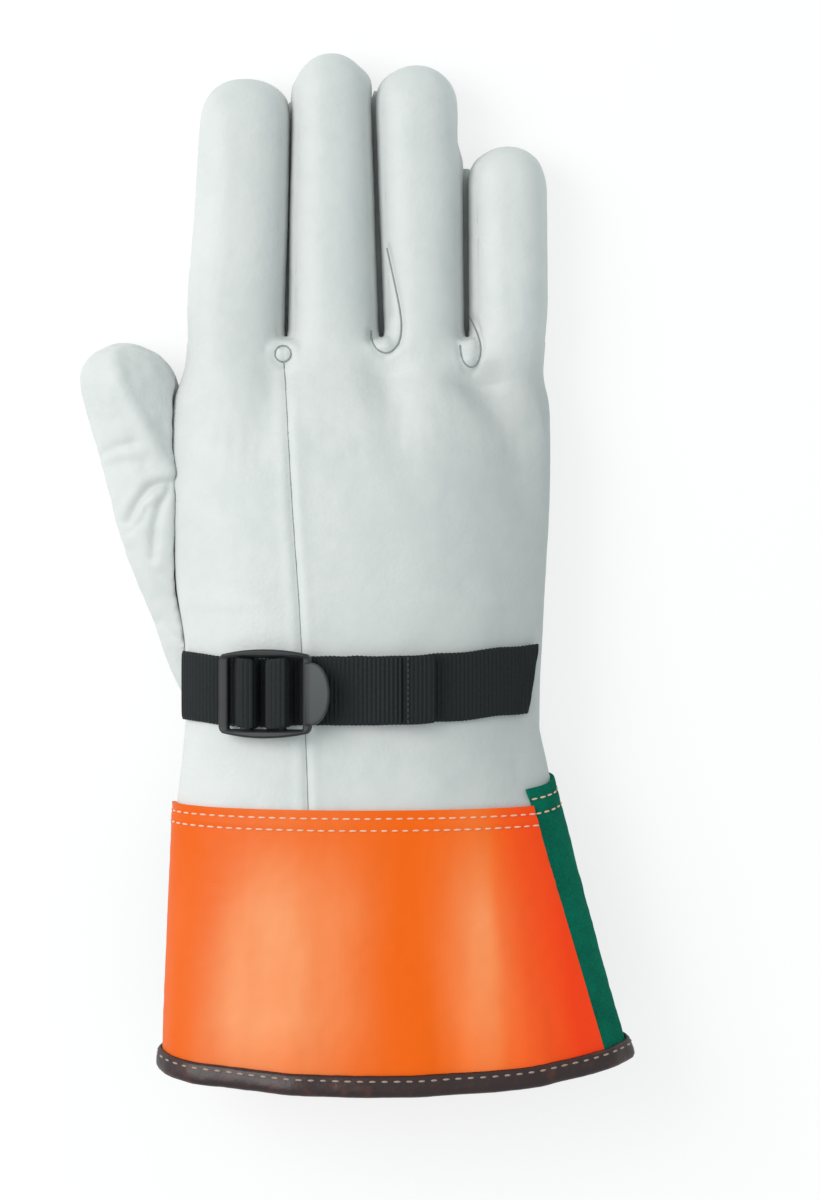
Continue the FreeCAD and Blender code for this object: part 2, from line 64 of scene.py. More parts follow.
# the lines that the fabric pieces share with the frame
knuckleLine = boxOf("index_palm")[0][1]
strapLow, strapHigh = boxOf("strap_tail")
strapLine = (strapLow[1] + strapHigh[1]) / 2
fingerNames = ("index", "middle", "ring", "little")


# small tools for meshes made of arrays

def blendStations(stations, at):
    # smooth values between stations, with no overshoot; a station is (place, value, value, ...)
    table = np.array(sorted(stations), float)
    place, values = table[:, 0], table[:, 1:]
    gap = np.diff(place)[:, None]
    rise = np.diff(values, axis=0) / gap
    slope = np.zeros_like(values)
    same = rise[1:] * rise[:-1] > 0
    total = np.where(same, rise[1:] + rise[:-1], 1)
    slope[1:-1] = np.where(same, 2 * rise[1:] * rise[:-1] / total, 0)
    slope[0], slope[-1] = rise[0], rise[-1]
    at = np.clip(np.asarray(at, float), place[0], place[-1])
    i = np.clip(np.searchsorted(place, at, side="right") - 1, 0, len(place) - 2)
    t = ((at - place[i]) / gap[i, 0])[..., None]
    g = gap[i]
    return ((1 + 2 * t) * (1 - t) ** 2 * values[i] + t * (1 - t) ** 2 * g * slope[i]
            + t ** 2 * (3 - 2 * t) * values[i + 1] + t ** 2 * (t - 1) * g * slope[i + 1])


def ring(centre, halfWidth, halfHeight, across, up, count=64, square=0.93):
    turn = np.linspace(0, 2 * math.pi, count, endpoint=False)
    c, s = np.cos(turn), np.sin(turn)
    c = np.sign(c) * np.abs(c) ** square
    s = np.sign(s) * np.abs(s) ** square
    return centre + np.outer(c * halfWidth, across) + np.outer(s * halfHeight, up)


def loft(rings):
    # closed solid through rings of equal count, with a fan at each end
    count = len(rings[0])
    verts = np.vstack(rings + [rings[0].mean(axis=0)[None], rings[-1].mean(axis=0)[None]])
    faces = []
    for r in range(len(rings) - 1):
        for i in range(count):
            j = (i + 1) % count
            faces.append((r * count + i, r * count + j, (r + 1) * count + j, (r + 1) * count + i))
    first, last = len(verts) - 2, len(verts) - 1
    end = (len(rings) - 1) * count
    for i in range(count):
        j = (i + 1) % count
        faces.append((first, j, i))
        faces.append((last, end + i, end + j))
    return verts, faces


def grid(points, closed=False):
    # faces over an array of rows x columns of points
    rows, columns = points.shape[:2]
    faces = []
    for r in range(rows - 1):
        for c in range(columns if closed else columns - 1):
            d = (c + 1) % columns
            faces.append((r * columns + c, r * columns + d, (r + 1) * columns + d, (r + 1) * columns + c))
    return points.reshape(-1, 3), faces


def linked(name, data):
    made = bpy.data.objects.new(name, data)
    bpy.context.scene.collection.objects.link(made)
    return made


def evaluatedMesh(obj):
    graph = bpy.context.evaluated_depsgraph_get()
    return bpy.data.meshes.new_from_object(obj.evaluated_get(graph))


def newObject(name, verts, faces, material=None, smooth=True):
    mesh = bpy.data.meshes.new(name)
    mesh.from_pydata((np.asarray(verts) * mm).tolist(), [], [tuple(int(i) for i in f) for f in faces])
    mesh.update()
    if smooth:
        mesh.shade_smooth()
    if material:
        mesh.materials.append(material)
    return linked(name, mesh)


def recalculated(obj, merge=True):
    # normals outwards, with doubles merged first unless told not to
    work = bmesh.new()
    work.from_mesh(obj.data)
    if merge:
        bmesh.ops.remove_doubles(work, verts=work.verts, dist=0.01 * mm)
    bmesh.ops.recalc_face_normals(work, faces=work.faces)
    work.to_mesh(obj.data)
    work.free()
    obj.data.update()
    return obj


def settled(obj):
    # the object with its modifiers made plain mesh
    mesh = evaluatedMesh(obj)
    obj.modifiers.clear()
    old = obj.data
    obj.data = mesh
    mesh.name = obj.name
    bpy.data.meshes.remove(old)
    return obj


def remeshed(obj, voxel, rounds):
    remesh = obj.modifiers.new("remesh", "REMESH")
    remesh.mode = "VOXEL"
    remesh.voxel_size = voxel * mm
    relax = obj.modifiers.new("relax", "SMOOTH")
    relax.factor = 0.5
    relax.iterations = rounds
    return settled(obj)


def arraysOf(obj):
    mesh = obj.data
    verts = np.empty(len(mesh.vertices) * 3)
    mesh.vertices.foreach_get("co", verts)
    normals = np.empty(len(mesh.vertices) * 3)
    mesh.vertex_normals.foreach_get("vector", normals)
    return verts.reshape(-1, 3) / mm, normals.reshape(-1, 3)


def setVerts(obj, verts):
    obj.data.vertices.foreach_set("co", (verts * mm).ravel())
    obj.data.update()


def bisected(obj, planes):
    # adds an edge where each plane crosses: (point, normal, drop what lies beyond, only where)
    work = bmesh.new()
    work.from_mesh(obj.data)
    for point, normal, drop, only in planes:
        geometry = work.verts[:] + work.edges[:] + work.faces[:]
        if only:
            faces = [f for f in work.faces if only(f.calc_center_median() / mm)]
            edges = {e for f in faces for e in f.edges}
            verts = {v for f in faces for v in f.verts}
            geometry = list(verts) + list(edges) + faces
        bmesh.ops.bisect_plane(work, geom=geometry, plane_co=Vector(point) * mm, plane_no=Vector(normal),
                               dist=0.02 * mm, clear_outer=drop)
    work.to_mesh(obj.data)
    work.free()
    obj.data.update()


def roughness(points, size, seed=0.0):
    # smooth noise from -1 to 1, one value a point
    shift = Vector((seed, seed * 1.7, -seed))
    return np.array([noise.noise(Vector(p) / size + shift) for p in points.tolist()])


def nearLine(points, path):
    # distance from each point to a path of straight runs, in the plane of the path
    best = np.full(len(points), 1e9)
    for a, b in zip(path[:-1], path[1:]):
        a, b = np.array(a, float), np.array(b, float)
        run = b - a
        t = np.clip(((points - a) @ run) / (run @ run), 0, 1)
        best = np.minimum(best, np.linalg.norm(points - (a + t[:, None] * run), axis=1))
    return best


def bell(distance, width):
    return np.exp(-(distance / width) ** 2)


def ramped(rise, run):
    # 0 where rise is below zero, 1 where it has passed run
    return np.clip(rise / run, 0, 1)


def walled(name, obj, chosen, wall, material):
    # one panel: the chosen faces of a skin, with the leather's thickness added inwards
    mesh = obj.data
    verts, normals = arraysOf(obj)
    faces = [tuple(mesh.polygons[i].vertices) for i in chosen]
    used = sorted({i for face in faces for i in face})
    new = {old: i for i, old in enumerate(used)}
    faces = [tuple(new[i] for i in face) for face in faces]
    out, facing = verts[used], normals[used]
    count = len(out)
    edges = dict.fromkeys((a, b) for face in faces for a, b in zip(face, face[1:] + face[:1]))
    rim = [(b, a, a + count, b + count) for a, b in edges if (b, a) not in edges]
    inner = [tuple(i + count for i in reversed(face)) for face in faces]
    made = newObject(name, np.vstack([out, out - facing * wall]), faces + inner + rim, material)
    loops = []
    for poly in made.data.polygons:
        if poly.index < 2 * len(faces):
            side = 1 if poly.index < len(faces) else -1
            loops += [tuple(facing[v % count] * side) for v in poly.vertices]
        else:
            loops += [tuple(poly.normal)] * len(poly.vertices)
    made.data.normals_split_custom_set(loops)
    return made


# node trees and materials

def colour(text):
    # an sRGB hex value as linear light
    parts = [int(text[i:i + 2], 16) / 255 for i in (1, 3, 5)]
    return tuple(p / 12.92 if p <= 0.04045 else ((p + 0.055) / 1.055) ** 2.4 for p in parts) + (1.0,)


def addNode(tree, kind, inputs=None, **settings):
    # one node with its settings; an input is a value or another node's socket
    node = tree.nodes.new(kind)
    for key, setting in settings.items():
        setattr(node, key, setting)
    for key, given in (inputs or {}).items():
        if isinstance(given, bpy.types.NodeSocket):
            tree.links.new(given, node.inputs[key])
        else:
            node.inputs[key].default_value = given
    return node


def newMaterial(name, **surface):
    made = bpy.data.materials.new(name)
    made.use_nodes = True
    tree = made.node_tree
    shader = tree.nodes["Principled BSDF"]
    for key, given in surface.items():
        shader.inputs[key.replace("_", " ")].default_value = given
    return made, tree, shader


def objectPoint(tree):
    return addNode(tree, "ShaderNodeTexCoord").outputs["Object"]


def noiseAt(tree, point, sizeMm, detail=3.0, rough=0.5):
    made = addNode(tree, "ShaderNodeTexNoise", {"Vector": point, "Scale": 1 / (sizeMm * mm), "Detail": detail,
                                                "Roughness": rough})
    return made.outputs["Fac"]


def mixColours(tree, factor, first, second):
    made = addNode(tree, "ShaderNodeMix", data_type="RGBA")
    for key, given in ((0, factor), (6, first), (7, second)):
        if isinstance(given, bpy.types.NodeSocket):
            tree.links.new(given, made.inputs[key])
        else:
            made.inputs[key].default_value = given
    return made.outputs[2]


def spread(tree, socket, low, high, toLow=0.0, toHigh=1.0):
    made = addNode(tree, "ShaderNodeMapRange", {"Value": socket, "From Min": low, "From Max": high,
                                                "To Min": toLow, "To Max": toHigh})
    return made.outputs["Result"]


def mathOf(tree, operation, first, second=0.0):
    made = addNode(tree, "ShaderNodeMath", {0: first, 1: second}, operation=operation)
    return made.outputs[0]


def dimmed(tree, vector, by):
    return addNode(tree, "ShaderNodeVectorMath", {0: vector, "Scale": by}, operation="SCALE").outputs[0]


def scaled(tree, point, by):
    return addNode(tree, "ShaderNodeVectorMath", {0: point, 1: by}, operation="MULTIPLY").outputs[0]


def weaveOf(tree, point, threadMm, distortion):
    # two sets of threads that cross; a wave texture's own period is 0.314 of its scale
    found = []
    for direction in ("X", "Y"):
        wave = addNode(tree, "ShaderNodeTexWave", {"Vector": point, "Scale": 0.314 / (threadMm * mm),
                                                   "Distortion": distortion, "Detail": 1.0},
                       bands_direction=direction)
        found.append(wave.outputs["Fac"])
    return found


def bumped(tree, shader, *layers):
    # stacks bumps: each layer is (height socket, height in millimetres)
    below = None
    for height, tall in layers:
        inputs = {"Height": height, "Distance": tall * mm, "Strength": 1.0}
        if below:
            inputs["Normal"] = below
        below = addNode(tree, "ShaderNodeBump", inputs).outputs["Normal"]
    tree.links.new(below, shader.inputs["Normal"])


# edge: how far the painted shade darkens the hide at the right of the back
leatherLook = {"pale": "#cccdcc", "shade": "#c3c6c5", "rough": 0.52, "grainMm": 1.3, "grainTall": 0.05,
               "poreMm": 0.45, "poreTall": 0.012, "edge": 0.82}


def makeLeather():
    # goatskin, pearl grain, drum dyed and lightly polished: a soft even sheen over fine pebbles
    look = leatherLook
    made, tree, shader = newMaterial("goatskin", Roughness=look["rough"], IOR=1.45)
    shader.inputs["Sheen Weight"].default_value = 0.08
    shader.inputs["Sheen Roughness"].default_value = 0.5
    point = objectPoint(tree)
    cloud = noiseAt(tree, point, 38.0, 4.0, 0.6)
    blot = noiseAt(tree, point, 7.0, 3.0, 0.6)
    both = mathOf(tree, "ADD", mathOf(tree, "MULTIPLY", cloud, 0.7), mathOf(tree, "MULTIPLY", blot, 0.3))
    tint = mixColours(tree, spread(tree, both, 0.36, 0.62), colour(look["shade"]), colour(look["pale"]))
    parts = addNode(tree, "ShaderNodeSeparateXYZ", {"Vector": point}).outputs
    # painted shade: the colour is darkened toward the right of the back, where the hide turns under, away
    # from the light
    onHand = spread(tree, parts["Y"], 72 * mm, 52 * mm)
    far = mathOf(tree, "MULTIPLY", spread(tree, parts["X"], 14 * mm, 46 * mm), onHand)
    # painted shade: the mottled tint dimmed toward the right
    worn = dimmed(tree, tint, spread(tree, far, 0.0, 1.0, 1.0, look["edge"]))
    tree.links.new(worn, shader.inputs["Base Color"])
    drift = addNode(tree, "ShaderNodeTexNoise", {"Vector": point, "Scale": 1 / (3.0 * mm)}).outputs["Color"]
    warped = addNode(tree, "ShaderNodeVectorMath", {0: point, 1: dimmed(tree, drift, 0.5 * mm)},
                     operation="ADD").outputs[0]
    cells = addNode(tree, "ShaderNodeTexVoronoi", {"Vector": warped, "Scale": 1 / (look["grainMm"] * mm),
                                                   "Smoothness": 0.6}, feature="SMOOTH_F1")
    grain = spread(tree, cells.outputs["Distance"], 0.1, 0.7, 1.0, 0.0)
    patchy = spread(tree, noiseAt(tree, point, 16.0), 0.35, 0.65, 0.35, 1.0)
    bumped(tree, shader, (mathOf(tree, "MULTIPLY", grain, patchy), look["grainTall"]),
           (noiseAt(tree, point, look["poreMm"], 2.0), look["poreTall"]),
           (noiseAt(tree, point, 5.0, 2.0), 0.10))
    return made


goatskin = makeLeather()

clothLook = {"orange": "#e55e08", "pale": "#ec925e", "shadeRed": "#ec3c10", "weaveMm": 0.9, "weaveTall": 0.015,
             # across the panel in millimetres: how strong the painted highlight is, in bands where the satin
             # gloss would catch the light
             "paintedSheen": ((-58, 0.08), (-48, 0.1), (-38, 0.28), (-29, 0.9), (-20, 0.95), (-9, 0.8), (0, 0.4),
                         (9, 0.05), (18, 0.05), (26, 0.4), (33, 0.75), (40, 0.35), (60, 0.0))}


def makeCoatedCloth():
    # woven cotton coated with soft orange vinyl: a satin gloss, with painted highlights in pale bands, and
    # painted shade that makes it redder at the right
    look = clothLook
    made, tree, shader = newMaterial("vinyl-coated-cloth", Roughness=0.42, IOR=1.5)
    shader.inputs["Specular IOR Level"].default_value = 0.14
    point = objectPoint(tree)
    parts = addNode(tree, "ShaderNodeSeparateXYZ", {"Vector": point}).outputs
    flare = spread(tree, parts["Y"], -143 * mm, -68 * mm, 0.84, 1.0)
    tall = scaled(tree, point, (1.0, 0.3, 1.0))
    wander = mathOf(tree, "MULTIPLY", mathOf(tree, "SUBTRACT", noiseAt(tree, tall, 26.0, 2.0), 0.5), 14 * mm)
    across = mathOf(tree, "ADD", mathOf(tree, "MULTIPLY", parts["X"], flare), wander)
    ramp = addNode(tree, "ShaderNodeValToRGB", {"Fac": spread(tree, across, -60 * mm, 60 * mm)})
    ramp.color_ramp.interpolation = "CARDINAL"
    stops = ramp.color_ramp.elements
    stops[0].position, stops[1].position = [(look["paintedSheen"][i][0] + 60) / 120 for i in (0, -1)]
    for at, pale in look["paintedSheen"][1:-1]:
        stops.new((at + 60) / 120)
    for stop, (at, pale) in zip(stops, look["paintedSheen"]):
        stop.color = (pale, pale, pale, 1)
    # the painted highlight, broken into patches and fading toward the top and the hem
    patches = spread(tree, noiseAt(tree, tall, 14.0, 2.0), 0.35, 0.6, 0.75, 1.05)
    ends = mathOf(tree, "MULTIPLY", spread(tree, parts["Y"], -74 * mm, -98 * mm, 0.2, 1.0),
                  spread(tree, parts["Y"], -146 * mm, -128 * mm, 0.4, 1.0))
    pale = mathOf(tree, "MULTIPLY", ramp.outputs["Color"], mathOf(tree, "MULTIPLY", patches, ends))
    warm = mixColours(tree, pale, colour(look["orange"]), colour(look["pale"]))
    # painted shade: redder toward the right side, where the cuff turns away from the light
    shadeRed = spread(tree, across, 36 * mm, 55 * mm)
    # the colour is also scaled from 0.86 at the left to 1.18 at the right
    even = dimmed(tree, mixColours(tree, shadeRed, warm, colour(look["shadeRed"])),
                  spread(tree, across, -60 * mm, 60 * mm, 0.86, 1.18))
    tree.links.new(even, shader.inputs["Base Color"])
    weave = mathOf(tree, "MAXIMUM", *weaveOf(tree, point, look["weaveMm"], 0.4))
    bumped(tree, shader, (weave, look["weaveTall"]),
           (noiseAt(tree, point, 6.0, 2.0), 0.06))
    return made


coatedCloth = makeCoatedCloth()

suedeLook = {"green": "#006e56", "deep": "#00503f", "napMm": 0.8, "napTall": 0.22}


def makeSuede():
    # split cowhide, brushed: a fibrous nap with no gloss, lighter where it is stroked up
    look = suedeLook
    made, tree, shader = newMaterial("green-split-suede", Roughness=0.95, IOR=1.4)
    shader.inputs["Specular IOR Level"].default_value = 0.15
    shader.inputs["Sheen Weight"].default_value = 0.08
    shader.inputs["Sheen Roughness"].default_value = 0.6
    shader.inputs["Sheen Tint"].default_value = colour("#3fae93")
    point = objectPoint(tree)
    nap = noiseAt(tree, point, look["napMm"], 5.0, 0.7)
    stroke = noiseAt(tree, point, 12.0, 3.0, 0.6)
    both = mathOf(tree, "ADD", mathOf(tree, "MULTIPLY", nap, 0.5), mathOf(tree, "MULTIPLY", stroke, 0.5))
    tint = mixColours(tree, spread(tree, both, 0.35, 0.65), colour(look["deep"]), colour(look["green"]))
    tree.links.new(tint, shader.inputs["Base Color"])
    bumped(tree, shader, (nap, look["napTall"]))
    return made


greenSuede = makeSuede()

bindingLook = {"brown": "#270f10", "rubbed": "#4e2318", "creaseMm": 2.2}


def makeBindingVinyl():
    # folded tape of dark brown leathercloth: smooth, half glossy, redder where it bends over the edge
    look = bindingLook
    made, tree, shader = newMaterial("brown-leathercloth-binding", Roughness=0.4, IOR=1.5)
    point = objectPoint(tree)
    rub = noiseAt(tree, point, 5.0, 4.0, 0.65)
    tint = mixColours(tree, spread(tree, rub, 0.52, 0.8), colour(look["brown"]), colour(look["rubbed"]))
    tree.links.new(tint, shader.inputs["Base Color"])
    bumped(tree, shader, (noiseAt(tree, point, look["creaseMm"], 3.0), 0.16),
           (noiseAt(tree, point, 0.5, 2.0), 0.02))
    return made


brownBinding = makeBindingVinyl()

webbingLook = {"black": "#0c1011", "worn": "#1d2223", "yarnMm": 0.42}


def makeWebbing():
    # woven polypropylene webbing: flat shining yarns that cross in fine ribs
    look = webbingLook
    made, tree, shader = newMaterial("woven-webbing", Roughness=0.65, IOR=1.5)
    shader.inputs["Specular IOR Level"].default_value = 0.3
    point = addNode(tree, "ShaderNodeUVMap", uv_map="run").outputs["UV"]
    weave = mathOf(tree, "MULTIPLY", *weaveOf(tree, point, look["yarnMm"], 0.6))
    speck = noiseAt(tree, point, 1.1, 3.0, 0.7)
    both = mathOf(tree, "ADD", mathOf(tree, "MULTIPLY", weave, 0.5), mathOf(tree, "MULTIPLY", speck, 0.6))
    tint = mixColours(tree, spread(tree, both, 0.3, 0.8), colour(look["black"]), colour(look["worn"]))
    tree.links.new(tint, shader.inputs["Base Color"])
    bumped(tree, shader, (weave, 0.06), (speck, 0.05))
    return made


webbing = makeWebbing()


def makeBucklePlastic():
    # acetal, injection moulded in a spark-eroded tool: a fine even matt, with soft bright edges; the tab's
    # lighter grey is a painted reflection
    made, tree, shader = newMaterial("moulded-acetal", Roughness=0.5, IOR=1.48)
    point = objectPoint(tree)
    cloud = noiseAt(tree, point, 6.0, 3.0)
    frameTint = mixColours(tree, spread(tree, cloud, 0.3, 0.7), colour("#0d1011"), colour("#14181a"))
    across = addNode(tree, "ShaderNodeSeparateXYZ", {"Vector": point}).outputs["X"]
    # painted reflection: the tab at the right end is a lighter grey than the frame
    tint = mixColours(tree, spread(tree, across, -13.6 * mm, -12.6 * mm), frameTint, colour("#303435"))
    tree.links.new(tint, shader.inputs["Base Color"])
    bumped(tree, shader, (noiseAt(tree, point, 0.35, 2.0), 0.012))
    return made


acetal = makeBucklePlastic()


def makeThread(name, text):
    # twisted polyester sewing thread: small soft highlights along the twist
    made, tree, shader = newMaterial(name, Roughness=0.6, IOR=1.5)
    point = objectPoint(tree)
    fuzz = noiseAt(tree, point, 0.5, 3.0)
    darker = tuple(c * 0.72 for c in colour(text)[:3]) + (1.0,)
    tint = mixColours(tree, spread(tree, fuzz, 0.3, 0.7), darker, colour(text))
    tree.links.new(tint, shader.inputs["Base Color"])
    bumped(tree, shader, (fuzz, 0.05))
    return made


pinkThread = makeThread("pale-polyester-thread", "#f4bfa4")
tanThread = makeThread("tan-polyester-thread", "#a98f80")
# grey: thread in part, and in part painted shade of the seam creases
seamShadeThread = makeThread("grey-thread-and-seam-shade", "#8f9695")
blackThread = makeThread("black-polyester-thread", "#2d3233")
print("stage: materials")


# the leather hand: palm and fingers as one skin, cut into its panels along the seams

handSize = {
    # line: width, thickness, sideways shift, height of the middle
    "palm": [(70, 103.0, 21.5, 2.0, 10.4), (64, 105, 22, 1.8, 10.7), (57, 108.4, 26.5, 1.7, 12.4),
             (50, 110.6, 31, 1.6, 14.4), (36, 111.0, 36, 1.4, 16.8), (18, 110.4, 39.5, 1.3, 18.5),
             (-4, 107.6, 41, 1.4, 19.9), (-13, 105.6, 41, 1.9, 21.3), (-20.5, 104.2, 41, 2.2, 22.2),
             (-33.5, 103.4, 40.6, 2.0, 22.2), (-46.5, 103.4, 41, 1.8, 22.2)],
    "front": 70.0, "inCuff": 1.45,  # where the palm ends at the fingers, how far inside the cuff it runs
    "wall": 1.2, "voxel": 0.75, "rounds": 9, "puff": 0.22,
    "backSeam": (0.55, 0.75), "sideSeam": (0.4, 6.5),  # depth and width
    "dents": 0.3, "slope": 5.0, "drawn": 1.2, "swell": 0.75,
    "gaps": ((0.12, 0.25), (0.12, 0.65), (0.45, 0.7)),  # between the fingers, at the roots and at the tips
    "welt": (2.2, 1.7, 2.3),  # half width, half height, height of the middle
}
fingerSize = {
    # root across, lean, base width, tip width, reach
    "index": (-36.4, 3.2, 29.4, 26.8, 78.3), "middle": (-6.6, -0.5, 26.2, 23.6, 85.4),
    "ring": (19.8, -1.5, 22.8, 25.2, 81.6), "little": (45.3, -0.4, 23.2, 23.2, 58.6),
    "thick": 23.2, "tipThick": 21.4, "middleHigh": 10.9, "slim": 0.8, "blunt": 13.0, "rootRun": 34.0,
    "fourchette": 11.5,
}
xAxis, yAxis, zAxis = np.eye(3)
# the cone that the cuff follows: what it measures at its top and at its hem
coneSize = {"lines": (-68, -143.7), "wide": (114, 135.6), "thick": (45.6, 51.0), "shift": (3.3, 11.4),
            "high": (23.1, 27.1), "tilt": 15}
coneTilt = math.radians(coneSize["tilt"])
coneUp = np.array([0, -math.sin(coneTilt), math.cos(coneTilt)])


def coneAt(line):
    # share of the way to the hem, half width, half thickness, sideways shift, height
    top, hem = coneSize["lines"]
    share = (line - top) / (hem - top)
    wide, thick, shift, high = (a + share * (b - a) for a, b in (
        coneSize[key] for key in ("wide", "thick", "shift", "high")))
    return share, wide / 2, thick / 2, shift, high


def cuffRingAt(line, grow=0.0, count=256):
    # one ring of the cone; the rings lean with the hem
    share, half, tall, shift, high = coneAt(line)
    return ring(np.array([shift, line, high]), half + grow, tall + grow, xAxis, coneUp, count, 1.0)


def palmRings():
    front = handSize["front"]
    lines = [front, front - 0.3, front - 1, front - 2, front - 3.2] + list(np.arange(front - 5, -47, -2.0))
    rows = []
    for at, (wide, thick, shift, high) in zip(lines, blendStations(handSize["palm"], lines)):
        square = 0.93 if at > -10 else 0.97
        nose = max(0.0, (at - front + 5.0) / 5.0)
        thick -= 13.0 * (1 - math.sqrt(max(0.0, 1 - nose ** 2)))
        middle = np.array([shift, at, high])
        rows.append(ring(middle, wide / 2, thick / 2, xAxis, zAxis, 128, square))
    inCuff = -handSize["inCuff"]
    for share in (0.21, 0.42):
        rows.append(rows[-1] * (1 - share) + cuffRingAt(-68, inCuff, 128) * share)
    for line in (-68, -74, -80, -84):
        rows.append(cuffRingAt(line, inCuff, 128))
    return rows


def fingerRings(name):
    root, lean, base, tip, reach = fingerSize[name]
    base, tip = base - 2 * fingerSize["slim"], tip - 2 * fingerSize["slim"]
    turn = math.radians(lean)
    along = np.array([math.sin(turn), math.cos(turn), 0])
    across = np.array([math.cos(turn), -math.sin(turn), 0])
    start = np.array([root, knuckleLine, 0.0])
    rows = []
    blunt = fingerSize["blunt"]
    for share, size in ((-1.0, 0.45), (-0.7, 0.62), (-0.4, 0.83), (-0.15, 0.97)):
        centre = start + along * share * fingerSize["rootRun"] + zAxis * (10.9 - share * 3.6)
        rows.append(ring(centre, base / 2 * size, 11.4 * size, across, zAxis, 72, 0.92))
    nose = reach - blunt * (1 - np.sin(np.linspace(0, 1.5, 9)))
    for at in [*np.arange(0, reach - blunt, 3.0), *nose]:
        share = at / (reach - blunt)
        cap = max(0.0, share * (reach - blunt) - (reach - blunt)) / blunt
        size = max(1 - cap ** 2.1, 0.0) ** (1 / 2.1)
        mid = min(share, 1.0)
        wide = base + (tip - base) * mid
        thick = fingerSize["thick"] + (fingerSize["tipThick"] - fingerSize["thick"]) * mid
        centre = start + along * at + zAxis * (thick / 2 - 0.7 - 0.02 * mid)
        rows.append(ring(centre, wide / 2 * size, thick / 2 * size, across, zAxis, 72, 0.88))
    return rows


def pressedFlat(verts):
    # what hangs below the table top is spread softly onto it
    low = verts[:, 2] < 1.5
    z = verts[low, 2]
    verts[low, 2] = 1.5 - 1.5 * (1 - np.exp(-(1.5 - z) / 1.5))
    return verts


def bodyObject(name, loops, voxel, rounds):
    verts, faces = [], []
    for rows in loops:
        partVerts, partFaces = loft(rows)
        faces += [tuple(i + len(verts) for i in face) for face in partFaces]
        verts += list(partVerts)
    made = newObject(name, pressedFlat(np.array(verts)), faces)
    return remeshed(recalculated(made), voxel, rounds)


skin = bodyObject("skin", [palmRings()] + [fingerRings(name) for name in fingerNames],
                  handSize["voxel"], handSize["rounds"])
setVerts(skin, pressedFlat(arraysOf(skin)[0]))
print("stage: skin", len(skin.data.vertices))


def axisOf(name):
    root, lean = fingerSize[name][:2]
    turn = math.radians(lean)
    return np.array([root, knuckleLine, 0.0]), np.array([math.sin(turn), math.cos(turn), 0.0])


def offAxis(points, name):
    start, along = axisOf(name)
    away = points - start
    return away[..., 0] * along[1] - away[..., 1] * along[0], away[..., :2] @ along[:2]


def nearestFinger(points):
    offs = np.array([np.abs(offAxis(points, name)[0]) - fingerSize[name][2] / 2 for name in fingerNames])
    return np.argmin(offs, axis=0)


def pathOf(*points):
    return [np.array(p, float) for p in points]


backSeam = pathOf((-21.3, 66.0), (-20.2, 51.0), (-18.8, 27.5), (-17.6, 10.0), (-15.9, -12.0), (-13.7, -60.0),
                  (-13.2, -82.0))
forkLoops = {  # the stitched edge of each fork tab, seen from above
    "fork_tab_index_middle": [(-21.35 + 2.4 * math.sin(a), 64.5 - 2.4 * math.cos(a))
                              for a in np.linspace(0, 6.283, 25)],
    "fork_tab_middle_ring": [(9.05, 95.6), (11.1, 86.0), (12.6, 78.7), (13.4, 72.9), (12.8, 67.9),
                             (10.8, 65.3), (8.5, 64.4), (5.8, 65.8), (4.4, 68.5), (4.4, 71.4)],
    "fork_tab_ring_little": [(33.3, 75.8), (35.3, 71.4), (36.5, 67.0), (36.2, 63.2), (34.5, 60.3),
                             (32.1, 60.9), (30.7, 63.5), (30.4, 67.0)],
}
forkPads = (pathOf((-21.35, 64.5), (-21.35, 64.6)), pathOf((8.8, 67.2), (9.8, 73.0)),
            pathOf((33.4, 63.2), (34.0, 68.0)))
valleys = (  # soft hollows that run down from the forks: path, depth, width
    (pathOf((-22.0, 63.0), (-24.0, 54.0), (-26.5, 44.0), (-28.5, 30.0)), 3.2, 6.5),
    (pathOf((8.5, 63.0), (10.5, 52.0), (12.5, 42.0), (13.5, 28.0)), 3.9, 7.0),
    (pathOf((35.0, 60.0), (41.5, 50.0), (46.5, 40.0), (49.5, 20.0)), 5.2, 6.5),
)
fourchetteSides = {"index": ("right",), "middle": ("left", "right"), "ring": ("left", "right"),
                   "little": ("left",)}
seamHigh = fingerSize["middleHigh"]
leatherEnd = -80.0


def inFinger(spot):
    return spot[1] > knuckleLine - 0.5


cutPlanes = [
    ((0, knuckleLine + 0.15, 0), (0, 1, 0), False, None),
    ((0, 0, seamHigh), (0, 0, 1), False, inFinger),
    ((0, 0, seamHigh + fingerSize["fourchette"] / 2), (0, 0, 1), False, inFinger),
    ((0, 0, seamHigh - fingerSize["fourchette"] / 2), (0, 0, 1), False, inFinger),
    ((0, 0, 18.0), (0, 0, 1), False, lambda spot: spot[1] < knuckleLine + 0.5),
    ((0, leatherEnd, 0), (0, -math.cos(coneTilt), -math.sin(coneTilt)), True, None),
]


def edgeOf(points, which, name, side, y):
    # a finger's side where it is widest, measured along its length
    off = offAxis(points, name)[0] * side
    mine = (which == fingerNames.index(name)) & (np.abs(points[:, 2] - 10) < 3) & (off > 4)
    places = np.arange(knuckleLine - 2, knuckleLine + 90, 2.0)
    slots = np.clip(((points[mine, 1] - places[0] + 1) / 2).astype(int), 0, len(places) - 1)
    widest = np.full(len(places), -1.0)
    np.maximum.at(widest, slots, off[mine])
    kept = (widest > 0) & (places > knuckleLine + 4)
    root, lean = fingerSize[name][:2]
    middle = root + math.tan(math.radians(lean)) * (y - knuckleLine)
    return middle + side * np.interp(y, places[kept], widest[kept])


